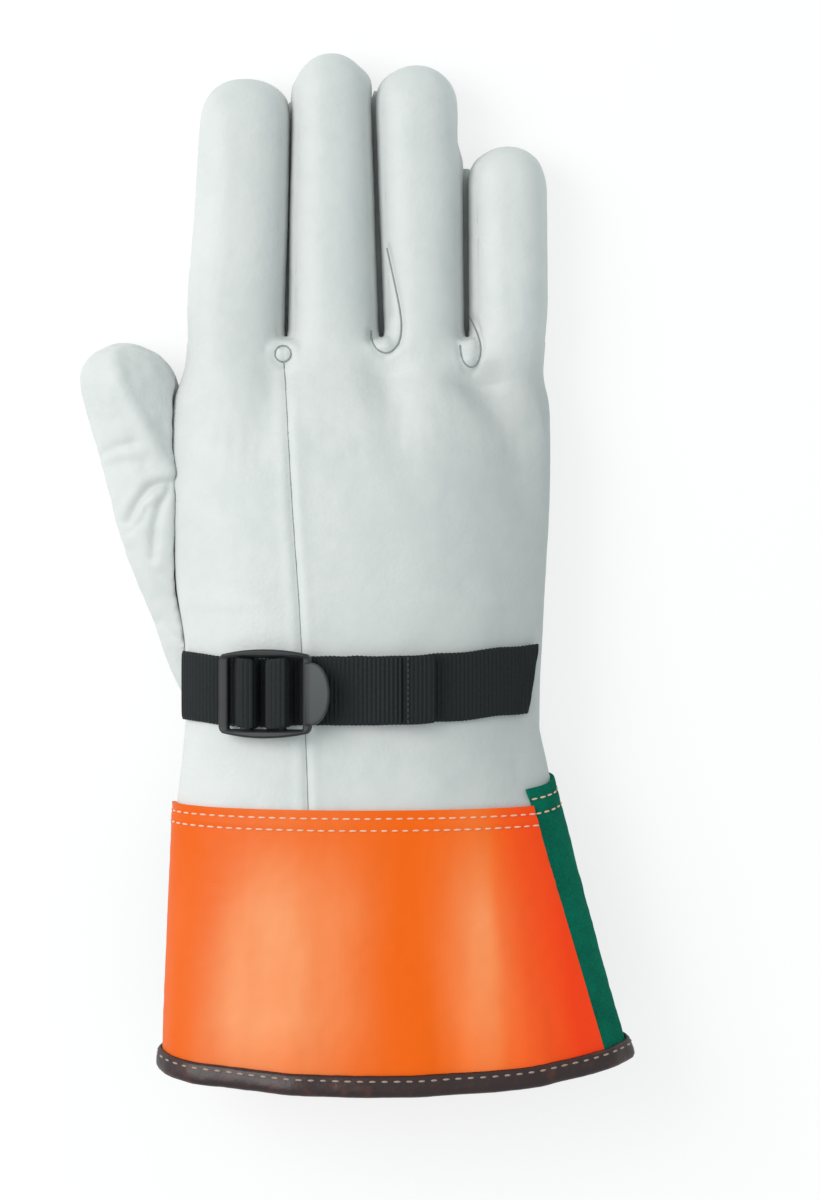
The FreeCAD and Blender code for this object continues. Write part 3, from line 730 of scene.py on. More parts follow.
def closedUp(points, normals):
    # half way down, the fingers come together, so that only a dark crease is seen between them
    which = nearestFinger(points)
    out = points.copy()
    y = points[:, 1]
    deep = bell(points[:, 2] - 8.0, 8.0) * ramped(y - knuckleLine + 2, 2)
    for n in range(3):
        left, right = fingerNames[n], fingerNames[n + 1]
        room = (edgeOf(points, which, right, -1, y) - edgeOf(points, which, left, 1, y)) / 2
        far = knuckleLine + min(fingerSize[left][4], fingerSize[right][4])
        atRoot, atTip = handSize["gaps"][n]
        apart = atRoot + (atTip - atRoot) * np.clip((y - knuckleLine) / (far - knuckleLine - 10), 0, 1)
        move = np.clip(room - apart, 0, 2.4) * deep * ramped(far - y, 8)
        inner = (which == n) & (offAxis(points, left)[0] > 0)
        out[:, 0] += np.where(inner, move * np.clip(normals[:, 0] * 1.15, 0, 1), 0)
        inner = (which == n + 1) & (offAxis(points, right)[0] < 0)
        out[:, 0] -= np.where(inner, move * np.clip(-normals[:, 0] * 1.15, 0, 1), 0)
    return out


def eased(obj, weight, rounds):
    # smooths a skin where the weight says so
    points = arraysOf(obj)[0]
    ends = np.empty(len(obj.data.edges) * 2, int)
    obj.data.edges.foreach_get("vertices", ends)
    a, b = ends[::2], ends[1::2]
    count = len(points)
    degree = np.bincount(a, minlength=count) + np.bincount(b, minlength=count)
    for turn in range(rounds):
        for i in range(3):
            total = np.bincount(a, points[b, i], count) + np.bincount(b, points[a, i], count)
            points[:, i] += 0.6 * weight * (total / degree - points[:, i])
    setVerts(obj, points)


def knuckleWeight(points, normals):
    # the backs of the finger roots, and the outer sides there
    offs = np.min([np.abs(offAxis(points, name)[0]) for name in fingerNames], axis=0)
    mid = np.where(points[:, 1] > 65, ramped(9.5 - offs, 3), 1)
    weight = bell(points[:, 1] - 60, 11) * ramped(normals[:, 2] - 0.1, 0.3) * mid
    side = bell(points[:, 1] - 66, 10) * ((points[:, 0] > 49) | (points[:, 0] < -43))
    return np.clip(np.maximum(weight, side), 0, 1)


skinPoints, skinNormals = arraysOf(skin)
setVerts(skin, closedUp(skinPoints, skinNormals))
eased(skin, knuckleWeight(skinPoints, skinNormals), 160)
bisected(skin, cutPlanes)


def dressed(points, normals):
    # seams, puffs, valleys and dents, pushed into the skin
    flat = points[:, :2]
    push = np.zeros(len(points))
    top = ramped(normals[:, 2] - 0.1, 0.4)

    def seam(distance, weight, size):
        deepest, half = size
        return weight * (-deepest * bell(distance, half) + handSize["puff"] * bell(distance - 2.4, 1.5))

    onBack = points[:, 1] < knuckleLine - 1
    push += seam(nearLine(flat, backSeam), top * onBack, handSize["backSeam"])
    for loop in forkLoops.values():
        path = pathOf(*loop)
        push -= 0.7 * top * bell(nearLine(flat, path), 0.9)
    for pad in forkPads:
        push += 0.8 * top * bell(nearLine(flat, pad), 1.9)
    for path, low, wide in valleys:
        start, end = path[0][1], path[-1][1]
        fade = np.clip((flat[:, 1] - end + 4) / (start - end), 0, 1) * ramped(start + 3 - flat[:, 1], 6)
        push -= low * top * fade * bell(nearLine(flat, path), wide)
    which = nearestFinger(points)
    inside = points[:, 1] > knuckleLine
    side = ramped(0.75 - np.abs(normals[:, 2]), 0.3)
    for n, name in enumerate(fingerNames):
        here = inside & (which == n)
        off, run = offAxis(points, name)
        reach = fingerSize[name][4]
        for sign, word in ((-1, "left"), (1, "right")):
            halves = (seamHigh - fingerSize["fourchette"] / 2, seamHigh + fingerSize["fourchette"] / 2)
            mine = here * (off * sign > 0)
            for high in (halves[1:] if word in fourchetteSides[name] else (seamHigh,)):
                push += mine * seam(np.abs(points[:, 2] - high), side, handSize["sideSeam"])
        tipSeam = here * (run > reach - 6) * ramped(run - reach + 6, 4)
        push += tipSeam * seam(np.abs(points[:, 2] - seamHigh), 1.0, handSize["sideSeam"])
    # the outer sides swell a little
    for n, name in enumerate(fingerNames):
        off, run = offAxis(points, name)
        near = ramped(run + 10, 18) * ramped(fingerSize[name][4] - run, 14)
        outer = (name == "index") & (off < 0) | (name == "little") & (off > 0)
        push += handSize["swell"] * (which == n) * near * outer * np.clip(np.abs(normals[:, 0]) * 1.3, 0, 1)
    # soft dents, longer along the fingers than across
    stretched = points * np.array([1.0, 0.45, 1.0])
    calm = (1 - 0.85 * bell(points[:, 1] - strapLine, 12.0)) * np.clip(points[:, 2] / 5, 0, 1)
    push += handSize["dents"] * roughness(stretched, 13.0, 3.0) * calm
    push += 0.5 * roughness(points * np.array([1.0, 0.35, 1.0]), 24.0, 11.0) * calm
    push += 0.07 * roughness(points, 3.6, 8.0) * calm
    streaked = bell(points[:, 1] - 44, 16) * top
    push += 0.16 * roughness(points * np.array([1.0, 0.14, 1.0]), 3.2, 6.0) * streaked
    # the strap draws the wrist in, most of all at its right
    drawn = bell(points[:, 1] - strapLine - 14, 7.0) * ramped(points[:, 0] - 12, 28)
    push -= handSize["drawn"] * top * drawn
    low = ramped(points[:, 1] + 84, 12)
    return push * low


def dress(obj, force):
    points, normals = arraysOf(obj)
    points = points + normals * force(points, normals)[:, None]
    points[:, 2] = np.maximum(points[:, 2], 0.0)
    setVerts(obj, points)


dress(skin, dressed)


def fallen(across, high):
    # how far the back of the hand slopes away to the right
    return handSize["slope"] * np.clip((across - 4) / 46, 0, 1.2) ** 1.5 * ramped(high - 20, 14)


skinPoints = arraysOf(skin)[0]
lines = skinPoints[:, 1]
inPalm = ramped(68 - lines, 22) * ramped(lines + 66, 14)
skinPoints[:, 2] -= fallen(skinPoints[:, 0], skinPoints[:, 2]) * inPalm
setVerts(skin, skinPoints)


def insideLoop(flat, loop):
    # which points lie inside a closed outline
    inside = np.zeros(len(flat), bool)
    for (ax, ay), (bx, by) in zip(loop, loop[1:] + loop[:1]):
        if ay == by:
            continue
        crosses = (ay > flat[:, 1]) != (by > flat[:, 1])
        inside ^= crosses & (flat[:, 0] < (bx - ax) * (flat[:, 1] - ay) / (by - ay) + ax)
    return inside


def faceCentres(obj):
    found = np.empty(len(obj.data.polygons) * 3)
    obj.data.polygons.foreach_get("center", found)
    return found.reshape(-1, 3) / mm


def leatherPanel(name, obj, chosen, body, *nodes, bends=None):
    made = walled(name, obj, np.nonzero(chosen)[0], handSize["wall"], goatskin)
    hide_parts(*nodes)
    if bends:
        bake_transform(made)
    else:
        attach(made, body)


centres = faceCentres(skin)
inFingers = centres[:, 1] > knuckleLine + 0.15
upper = centres[:, 2] > 18.0
seamX = np.interp(-centres[:, 1], [-p[1] for p in backSeam], [p[0] for p in backSeam])
tabs = np.zeros(len(centres), bool)
for node, loop in forkLoops.items():
    tab = ~inFingers & upper & insideLoop(centres[:, :2], loop)
    leatherPanel(node.replace("fork_tab_", "forkTab_"), skin, tab, "hand", node)
    tabs |= tab
back = ~tabs & ~inFingers & upper
rightOfSeam = centres[:, 0] > seamX
leatherPanel("backPanel", skin, back & rightOfSeam, "hand", "back_panel_main")
leatherPanel("backIndexSide", skin, back & ~rightOfSeam, "hand", "back_panel_index_side")
leatherPanel("palmPanel", skin, ~inFingers & ~upper, "hand", "palm_panel")
whichFinger = nearestFinger(centres)
for n, name in enumerate(fingerNames):
    here = inFingers & (whichFinger == n)
    off, run = offAxis(centres, name)
    reach = fingerSize[name][4]
    band = np.abs(centres[:, 2] - seamHigh) < fingerSize["fourchette"] / 2
    rest = here.copy()
    start = Vector((0, knuckleLine - 1, 0)) * mm
    end = Vector((0, knuckleLine + 24, 0)) * mm
    bend = ("hand", name, start, end)
    for side, word in ((-1, "left"), (1, "right")):
        if word in fourchetteSides[name]:
            strip = here & band & (off * side > 0) & (run < reach - 3)
            node = "%s_fourchette_%s" % (name, word)
            leatherPanel(name + "Fourchette" + word.title(), skin, strip, None, node, bends=bend)
            rest &= ~strip
    leatherPanel(name + "Back", skin, rest & (centres[:, 2] > seamHigh), None, name + "_back", bends=bend)
    leatherPanel(name + "Palm", skin, rest & (centres[:, 2] <= seamHigh), None, name + "_palm", bends=bend)


def seamWelt(n, points):
    # the raw edges of two fourchettes, sewn together low down between the fingers
    left, right = fingerNames[n], fingerNames[n + 1]
    wide, tall, high = handSize["welt"]
    far = knuckleLine + min(fingerSize[left][4], fingerSize[right][4]) - 7
    y = np.linspace(knuckleLine - 4, far, 60)
    which = nearestFinger(points)
    x = (edgeOf(points, which, right, -1, y) + edgeOf(points, which, left, 1, y)) / 2
    ends = np.clip(np.minimum(y - y[0], y[-1] - y) / 3, 0.15, 1) ** 0.5
    rows = [ring(np.array([a, b, high]), wide * e, tall * e, xAxis, zAxis, 16, 1.0)
            for a, b, e in zip(x, y, ends)]
    made = newObject(left + "Welt", *loft(rows), goatskin)
    recalculated(made, merge=False)
    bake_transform(made)


for n in range(3):
    seamWelt(n, arraysOf(skin)[0])


def treeFrom(obj):
    faces = [tuple(poly.vertices) for poly in obj.data.polygons]
    return BVHTree.FromPolygons(arraysOf(obj)[0].tolist(), faces)


def smoothPath(path, step=0.5):
    # a path of straight runs as closely spaced points on a soft curve
    path = np.array(path, float)
    for turn in range(3):
        cut = [path[0]]
        for a, b in zip(path[:-1], path[1:]):
            cut += [a * 0.75 + b * 0.25, a * 0.25 + b * 0.75]
        path = np.array(cut + [path[-1]])
    length = np.concatenate([[0], np.cumsum(np.linalg.norm(np.diff(path, axis=0), axis=1))])
    at = np.linspace(0, length[-1], max(int(length[-1] / step), 4))
    return np.stack([np.interp(at, length, path[:, i]) for i in range(path.shape[1])], axis=1)


def seamLine(name, tree, path, radius, lift, body, bends=None):
    # a thin cord of thread that lies along a seam, darker grey than the hide as painted shade of the seam's
    # crease
    spots = []
    for x, y in smoothPath(path):
        hit, normal = tree.ray_cast(Vector((x, y, 90)), Vector((0, 0, -1)), 120)[:2]
        if hit and hit[2] > 8:
            spots.append(np.array(hit) + np.array(normal) * lift)
    spots = np.array(spots)
    for turn in range(2):
        spots[1:-1] = (spots[:-2] + 2 * spots[1:-1] + spots[2:]) / 4
    rows = []
    for i, spot in enumerate(spots):
        run = spots[min(i + 1, len(spots) - 1)] - spots[max(i - 1, 0)]
        side = np.cross(run, zAxis)
        side /= np.linalg.norm(side)
        up = np.cross(side, run)
        rows.append(ring(spot, radius, radius, side, up / np.linalg.norm(up), 8, 1.0))
    made = newObject(name, *loft(rows), seamShadeThread)
    recalculated(made, merge=False)
    if bends:
        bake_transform(made)
    else:
        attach(made, body)


skinTree = treeFrom(skin)
for n, (node, finger) in enumerate(zip(forkLoops, (None, "ring", "little"))):
    bend = ("hand", finger, start, end) if finger else None
    seamLine("forkSeam%d" % (n + 1), skinTree, forkLoops[node], 0.27, 0.02, "hand", bend)
# painted shade: the back seam is sewn inside, so this grey cord stands for the shade in its groove
seamLine("backSeam", skinTree, pathOf((-21.1, 61.8)) + backSeam[1:], 0.17, -0.05, "hand")
print("stage: hand and fingers")


# the thumb: one soft tube from its root to its tip, pressed against the side of the palm

thumbSize = {
    "root": (-54.8, 10.0), "lean": 16.5, "voxel": 0.75, "rounds": (6, 5), "seamHigh": 11.3,
    # along the thumb: its left and right edges off the axis, thickness
    "stations": [(-50, -6.0, 3.0, 7.0), (-44, -9.2, 6.0, 12.0), (-36, -10.2, 8.0, 16.5),
                 (-27, -10.8, 9.5, 20.0), (-15, -12.0, 12.5, 22.5), (1, -13.4, 15.0, 24.0),
                 (16, -13.1, 16.0, 24.5), (31, -12.8, 16.0, 24.5), (46, -12.5, 15.3, 23.6),
                 (52, -11.9, 13.0, 22.0), (56, -10.2, 9.6, 19.0), (58.6, -7.4, 6.0, 14.0),
                 (60.0, -3.6, 2.4, 7.0)],
    "ridge": 0.7, "fall": 0.13, "rootRise": 7.0,
}
thumbTurn = math.radians(thumbSize["lean"])
thumbAlong = np.array([-math.sin(thumbTurn), math.cos(thumbTurn), 0])
thumbAcross = np.array([math.cos(thumbTurn), math.sin(thumbTurn), 0])
thumbStart = np.array([*thumbSize["root"], 0.0])


def thumbRings():
    lines = list(np.arange(-50, 48, 3.0)) + [48, 50.5, 53, 55, 56.7, 58, 59, 59.7, 60.1]
    rows = []
    for at, (left, right, thick) in zip(lines, blendStations(thumbSize["stations"], lines)):
        high = thick / 2 - 0.4 + thumbSize["rootRise"] * min(max((-22 - at) / 26, 0.0), 1.0)
        centre = thumbStart + thumbAlong * at + thumbAcross * (left + right) / 2 + zAxis * high
        rows.append(ring(centre, (right - left) / 2, thick / 2, thumbAcross, zAxis, 72, 0.92))
    return rows


def clearedOfPalm(points, gap):
    # pushes points out of the palm's left side
    lines = np.clip(points[:, 1], -46, 70)
    wide, thick, shift, high = blendStations(handSize["palm"], lines).T
    half, tall = wide / 2 + gap, thick / 2 + gap
    lift = np.clip(np.abs(points[:, 2] - high) / tall, 0, 1)
    edge = shift - half * (1 - lift ** 2.1) ** 0.476
    out = points.copy()
    out[:, 0] = np.where(points[:, 2] < high + tall, np.minimum(points[:, 0], edge), points[:, 0])
    return out


# creases across the thumb: path, depth, width
thumbCreases = [(pathOf((-75.5, 34.5), (-73.0, 36.0), (-69.5, 37.2), (-65.1, 38.2)), 0.55, 1.2),
                (pathOf((-73.0, 31.5), (-68.0, 33.0), (-62.0, 32.5)), 0.3, 1.4),
                (pathOf((-52.0, 27.0), (-56.5, 26.6), (-60.2, 25.0), (-63.9, 20.5), (-66.6, 15.5)),
                 1.1, 1.15),
                (pathOf((-54.0, 25.0), (-57.0, 20.0), (-58.6, 14.0), (-59.2, 5.0)), 0.8, 1.3),
                (pathOf((-66.0, 12.5), (-62.5, 15.5), (-60.5, 19.5)), 0.5, 1.1),
                (pathOf((-65.0, 6.0), (-62.0, -3.0), (-57.5, -12.0)), 0.35, 1.8),
                (pathOf((-57.0, -14.0), (-54.0, -17.5), (-51.0, -19.0)), 0.5, 1.4)]
thumbRidge = pathOf((-70.5, 70.0), (-69.5, 62.0), (-67.5, 56.0), (-63.0, 47.0), (-57.8, 37.8),
                    (-53.0, 29.0), (-46, 18))


def behindRidge(points):
    # how far a point lies to the right of the thumb's ridge
    across = np.interp(-points[:, 1], [-p[1] for p in thumbRidge], [p[0] for p in thumbRidge])
    return (points[:, 0] - across) * 0.87


def leaned(points):
    # right of the ridge the thumb slopes down, under the edge of the palm
    d = np.clip(behindRidge(points) / 15.0, 0, 1)
    out = points.copy()
    out[:, 2] *= 1 - thumbSize["fall"] * d * (2 - d)
    return out


def thumbForce(points, normals):
    top = ramped(normals[:, 2] - 0.1, 0.4)
    push = thumbSize["ridge"] * top * bell(behindRidge(points) + 1.0, 2.6) * ramped(points[:, 1] - 22, 12)
    for path, deep, wide in thumbCreases:
        gap = nearLine(points[:, :2], path)
        push += top * (-deep * bell(gap, wide) + 0.35 * deep * bell(gap - 2.6 * wide, 1.6 * wide))
    side = ramped(0.75 - np.abs(normals[:, 2]), 0.3)
    seam = np.abs(points[:, 2] - thumbSize["seamHigh"])
    push += side * (-0.4 * bell(seam, 0.75) + 0.2 * bell(seam - 2.4, 1.5))
    push += 0.5 * roughness(points * np.array([1, 0.5, 1]), 9.0, 5.0) * np.clip(points[:, 2] / 5, 0, 1)
    push += 0.22 * roughness(points, 3.6, 9.0)
    return push


thumbSkin = bodyObject("thumbSkin", [thumbRings()], thumbSize["voxel"], thumbSize["rounds"][0])
setVerts(thumbSkin, clearedOfPalm(leaned(arraysOf(thumbSkin)[0]), 0.45))
thumbSkin = remeshed(thumbSkin, thumbSize["voxel"], thumbSize["rounds"][1])
bisected(thumbSkin, [((0, 0, thumbSize["seamHigh"]), (0, 0, 1), False, None)])
dress(thumbSkin, thumbForce)
thumbUpper = faceCentres(thumbSkin)[:, 2] > thumbSize["seamHigh"]
rootBend = ("hand", "thumb", Vector(thumbStart - thumbAlong * 12) * mm,
            Vector(thumbStart + thumbAlong * 14) * mm)
leatherPanel("thumbBack", thumbSkin, thumbUpper, None, "thumb_back", "thumb_root", bends=rootBend)
leatherPanel("thumbPalm", thumbSkin, ~thumbUpper, None, "thumb_palm", bends=rootBend)
for used in (skin, thumbSkin):
    bpy.data.objects.remove(used)
print("stage: thumb")


# the gauntlet cuff: coated cloth over the back, suede round the palm side, bound at the hem

cuffSize = {"cloth": 1.3, "top": -66.0, "arch": 3.9, "suedeTop": -59.0, "hem": -141.7, "hemRise": 3.2,
            "seamAcross": 51.5, "seamLean": 15.8, "swell": 0.9, "pucker": 0.22,
            "rows": (2.3, 5.5), "suedeRows": (3.4, 7.6), "bindingRow": 3.5, "bindingHigh": 4.9}


def cuffPoint(turn, line, grow=0.0):
    # points of the cone, swelling and sinking more toward the hem
    share, half, tall, shift, high = coneAt(line)
    low = np.clip(-np.sin(turn), 0, 1)
    waves = (0.65 * np.sin(turn * 7.0 + 0.6 + 0.5 * share) + 0.35 * np.sin(turn * 12.0 + 2.1)
             + 0.12 * np.sin(turn * 23.0 + 0.4 - share))
    grow = grow + cuffSize["swell"] * np.clip(share, 0, 1.2) ** 1.2 * waves * (1 - 0.9 * low)
    across = np.cos(turn) * (half + grow) + shift
    up = np.sin(turn) * (tall + grow)
    # the hem climbs at its right end
    rise = cuffSize["hemRise"] * ramped(across - 15, 60) ** 1.5 * np.clip(share, 0, 1.1) ** 2
    return np.stack([across, line + rise + up * coneUp[1], high + up * coneUp[2]], axis=-1)


def seamTurn(line):
    # where round the cone the cloth meets the suede, on the right
    half, _, shift = coneAt(line)[1:4]
    across = cuffSize["seamAcross"] - (line + 64) * math.tan(math.radians(cuffSize["seamLean"]))
    return math.acos((across - shift) / half)


def archedLine(turn, line):
    # the cloth's top edge runs straighter across the back than the cone's own rings
    share = (line - cuffSize["hem"]) / (cuffSize["top"] - cuffSize["hem"])
    return line + cuffSize["arch"] * np.clip(np.sin(turn), 0, 1) * share


def cuffSkin(name, lines, low, high, count, force, arched=False):
    # a smooth skin between two angles that change along the cone
    rows = []
    for line in lines:
        turn = np.linspace(low(line), high(line), count)
        rows.append(cuffPoint(turn, archedLine(turn, line) if arched else line))
    verts, faces = grid(np.array(rows))
    made = newObject(name, verts, faces)
    points, normals = arraysOf(made)
    outward = points - np.array([7.0, 0.0, 25.0])
    if np.sum(normals[:, [0, 2]] * outward[:, [0, 2]]) < 0:
        made.data.flip_normals()
        points, normals = arraysOf(made)
    away = np.repeat(np.array(lines), count)
    setVerts(made, points + normals * force(points, away)[:, None])
    return made


def cuffPanel(name, skinObject, material, node):
    made = walled(name, skinObject, range(len(skinObject.data.polygons)), cuffSize["cloth"], material)
    bpy.data.objects.remove(skinObject)
    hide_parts(node)
    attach(made, "hand")
    return made


def clothForce(points, line):
    gap = cuffSize["top"] - line
    push = np.zeros(len(points))
    for row in cuffSize["rows"]:
        push -= cuffSize["pucker"] * bell(gap - row, 0.9)
    push += 0.12 * bell(gap - 4.7, 1.2)
    push += 0.35 * roughness(points * np.array([1, 0.4, 1]), 16.0, 2.0) * np.clip(gap / 12, 0, 1)
    push += 0.10 * roughness(points, 4.0, 6.0)
    return push


def suedeForce(points, line):
    gap = cuffSize["suedeTop"] - line
    push = -0.25 * sum(bell(gap - row, 0.9) for row in cuffSize["suedeRows"])
    return push + 0.4 * roughness(points, 14.0, 12.0) + 0.15 * roughness(points, 2.5, 4.0) - 0.15


def greenStart(line):
    # on the left the suede's top corner is turned under, and it meets the cloth further down
    return math.pi + 0.75 * float(ramped(line - cuffSize["top"] + 3, 4))


orangeLines = np.linspace(cuffSize["top"], cuffSize["hem"], 130)
orangeSkin = cuffSkin("orangeSkin", orangeLines, seamTurn, lambda line: math.pi, 300, clothForce, True)
greenLines = np.linspace(cuffSize["suedeTop"], cuffSize["hem"], 130)
greenSkin = cuffSkin("greenSkin", greenLines, greenStart, lambda line: 2 * math.pi + seamTurn(line), 320,
                     suedeForce)
cuffPanel("cuffBack", orangeSkin, coatedCloth, "cuff_back_panel")
cuffPanel("cuffPalm", greenSkin, greenSuede, "cuff_palm_panel")


def bindingRing():
    # a folded tape over the hem: its section is drawn outside, round the edge and up the inside
    high, count = cuffSize["bindingHigh"], 420
    section = [(high - 0.4, 0.15), (high, 0.6), (high - 0.2, 1.15), (high - 0.7, 1.5), (high - 1.4, 1.4),
               (high - 2.3, 1.65), (1.2, 1.7), (0.0, 1.6), (-0.9, 1.1), (-1.45, 0.2), (-1.5, -0.8),
               (-1.2, -1.8), (-0.4, -2.6), (0.8, -2.95), (3.0, -2.9), (high - 0.8, -2.9),
               (high - 0.2, -2.4), (high - 0.5, -1.6), (0.6, -1.5), (0.2, -0.7), (0.6, 0.15)]
    turn = np.linspace(0, 2 * math.pi, count, endpoint=False)
    columns = []
    for along, grow in section:
        columns.append(cuffPoint(turn, cuffSize["hem"] + along, grow))
    points = np.array(columns).transpose(1, 0, 2)
    rows = np.concatenate([points, points[:1]])
    verts, faces = grid(rows[:, list(range(len(section))) + [0]])
    made = newObject("binding", verts, faces, brownBinding)
    recalculated(made)
    points, normals = arraysOf(made)
    twist = roughness(points * np.array([1, 1.5, 1]), 5.0, 7.0)
    setVerts(made, points + normals * (0.12 * twist + 0.05 * roughness(points, 1.8, 2.0))[:, None])
    return made


hemBinding = bindingRing()
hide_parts("cuff_binding")
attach(hemBinding, "hand")
print("stage: cuff")


# the wrist strap: ribbed webbing, in runs along a path

# wrist: its middle, its height there, half its width and half its thickness
strapSize = {"half": 9.8, "thick": 1.3, "rib": 0.13, "ribMm": 1.25, "step": 0.21, "slant": 10.8, "bowed": 3.5,
             "leftRise": 1.4, "tailLift": 0.4, "wrist": (2.6, 22.2, 52.6, 20.5)}


def wristPoint(across, grow):
    # the wrist's upper outline, as across and height
    middle, low, half, tall = strapSize["wrist"]
    t = (across - middle) / (half + grow)
    high = low + (tall + grow) * math.sqrt(max(1 - t * t, 0.0))
    return high - fallen(across, high)


def tailPoint(across, grow):
    # the tail lies just clear of the strap that it slides along
    return wristPoint(across, grow) + strapSize["tailLift"]


def rising(across):
    # the strap climbs a little toward both its ends
    right = strapSize["bowed"] * float(ramped(across - 12, 42)) ** 1.3
    left = strapSize["leftRise"] * float(ramped(-40 - across, 10))
    return strapLine + right + left - 0.8 * float(bell(across + 27, 9.0))


class Run:
    # a path seen from the side, walked by length
    def __init__(self, points):
        self.points = np.array(points, float)
        gaps = np.linalg.norm(np.diff(self.points, axis=0), axis=1)
        self.length = np.concatenate([[0], np.cumsum(gaps)])
        self.total = self.length[-1]

    def at(self, length):
        length = np.asarray(length, float)
        spot = np.stack([np.interp(length, self.length, self.points[:, i]) for i in (0, 1)], axis=-1)
        ahead = np.stack([np.interp(length + 0.4, self.length, self.points[:, i]) for i in (0, 1)], axis=-1)
        behind = np.stack([np.interp(length - 0.4, self.length, self.points[:, i]) for i in (0, 1)], axis=-1)
        run = ahead - behind
        return spot, run / np.maximum(np.linalg.norm(run, axis=-1), 1e-6)[..., None]


def webbingPiece(name, path, node, body, seed, slant=0.0, half=strapSize["half"]):
    look = strapSize
    run = Run(path)
    lean = math.tan(math.radians(slant))
    turn = np.linspace(0, 2 * math.pi, 76, endpoint=False)
    side = np.sign(np.cos(turn)) * np.abs(np.cos(turn)) ** 0.35 * half
    up = np.sign(np.sin(turn)) * np.abs(np.sin(turn)) ** 0.45 * look["thick"] / 2
    rows, uvs = [], []
    count = max(int(run.total / look["step"]), 6)
    for at in np.linspace(0, run.total, count):
        nearEnd = ramped(at - run.total + 14, 14)
        length = at + side * lean * nearEnd - half * lean * nearEnd
        spot, along = run.at(length)
        wave = 0.5 + 0.5 * np.cos(2 * math.pi * length / look["ribMm"])
        edge = ramped(half - np.abs(side), 0.8)
        lift = up + np.sign(up) * look["rib"] * (wave - 0.5) * 2 * edge
        wide = side + np.sign(side) * 0.18 * wave * (np.abs(side) > half * 0.97)
        x = spot[:, 0] - along[:, 1] * lift
        z = spot[:, 1] + along[:, 0] * lift
        y = np.array([rising(v) for v in spot[:, 0]]) + wide
        rows.append(np.stack([x, y, z], axis=-1))
        uvs.append(np.stack([length * mm, side * mm], axis=-1))
    verts, faces = loft(rows)
    made = newObject(name, verts, faces, webbing)
    layer = made.data.uv_layers.new(name="run")
    table = np.vstack(uvs + [uvs[0].mean(axis=0)[None], uvs[-1].mean(axis=0)[None]])
    index = np.empty(len(made.data.loops), int)
    made.data.loops.foreach_get("vertex_index", index)
    layer.data.foreach_set("uv", table[index].ravel())
    points = arraysOf(made)[0]
    drape = np.stack([points[:, 0], np.zeros(len(points)), points[:, 0]], axis=-1)
    points[:, 1] += 0.35 * roughness(drape, 9.0, seed)
    setVerts(made, points)
    recalculated(made, merge=False)
    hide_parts(node)
    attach(made, body)


buckleSize = {"length": 28.0, "halfEnd": 11.1, "bulge": 1.7, "halfSlot": 10.15, "thick": 3.0, "round": 0.75,
              "slots": ((3.0, 6.6), (10.2, 15.6), (20.2, 25.6)), "tabLength": 6.6, "tabHalf": 9.0,
              "tabThick": 1.9, "loops": (8.4, 17.9)}  # loops: where along it the webbing turns round a bar
buckleCorner = boxOf("buckle_frame")
buckleTurn = math.radians(17.5)
buckleRun = np.array([math.cos(buckleTurn), 0, math.sin(buckleTurn)])
buckleUp = np.array([-math.sin(buckleTurn), 0, math.cos(buckleTurn)])
buckleStart = np.array([buckleCorner[0][0] + 3.2, strapLine - 0.9, buckleCorner[0][2] + 0.2])


def onBuckle(along, side, up):
    return buckleStart + np.multiply.outer(along, buckleRun) + np.multiply.outer(
        side, yAxis) + np.multiply.outer(up, buckleUp)


def buckleSide(along, up):
    spot = onBuckle(along, 0.0, up)
    return np.array([spot[0], spot[2]])


def around(along, wide, tall, count, fromTurn, toTurn):
    # a rounded loop of path round one of the buckle's bars
    middle = buckleSize["thick"] / 2
    points = []
    for turn in np.radians(np.linspace(fromTurn, toTurn, count)):
        c, s = math.cos(turn), math.sin(turn)
        points.append(buckleSide(along + wide * np.sign(c) * abs(c) ** 0.6,
                                 middle + tall * np.sign(s) * abs(s) ** 0.6))
    return points


def alongWrist(left, right, grow):
    return [(x, wristPoint(x, grow)) for x in np.linspace(left, right, 160)]


anchorPath = alongWrist(-50.0, -37.0, 1.0) + around(buckleSize["loops"][0], 2.45, 2.3, 40, 200, -170)
webbingPiece("strapAnchor", anchorPath, "strap_anchor", "hand", 2.0)
wrapPath = around(buckleSize["loops"][1], 2.95, 2.35, 36, 215, -35)
webbingPiece("strapWrap", wrapPath, "strap_wrap", "buckle", 3.0, half=9.9)
webbingPiece("strapMain", alongWrist(-36.4, 53.0, 1.0), "strap_main", "hand", 4.0, strapSize["slant"])
tailLow, tailHigh = boxOf("strap_tail")
hemLow = boxOf("strap_tail_hem")[0]
tailPath = [(x, tailPoint(x, 2.75)) for x in np.linspace(tailLow[0] + 4, tailHigh[0], 120)]
webbingPiece("strapTail", tailPath, "strap_tail", "tail", 5.0)
hemPath = [(x, tailPoint(x, 4.15)) for x in np.linspace(hemLow[0], tailHigh[0] + 0.2, 30)]
hemPath += [(tailHigh[0] + 0.9, tailPoint(tailHigh[0], 3.7))]
webbingPiece("strapTailHem", hemPath, "strap_tail_hem", "tail", 5.0)
print("stage: strap")


def flatShape(name, outline, holes, thick, bevel):
    # a moulded plate: a filled outline with holes, rounded on all its edges
    curve = bpy.data.curves.new(name, "CURVE")
    curve.dimensions = "2D"
    curve.fill_mode = "BOTH"
    curve.extrude = (thick / 2 - bevel) * mm
    curve.bevel_depth = bevel * mm
    curve.offset = -bevel * mm
    curve.bevel_resolution = 4
    for loop in [outline] + holes:
        line = curve.splines.new("POLY")
        line.points.add(len(loop) - 1)
        line.points.foreach_set("co", np.array([(x * mm, y * mm, 0, 1) for x, y in loop]).ravel())
        line.use_cyclic_u = True
    holder = linked(name, curve)
    mesh = evaluatedMesh(holder)
    bpy.data.objects.remove(holder)
    return recalculated(linked(name, mesh))


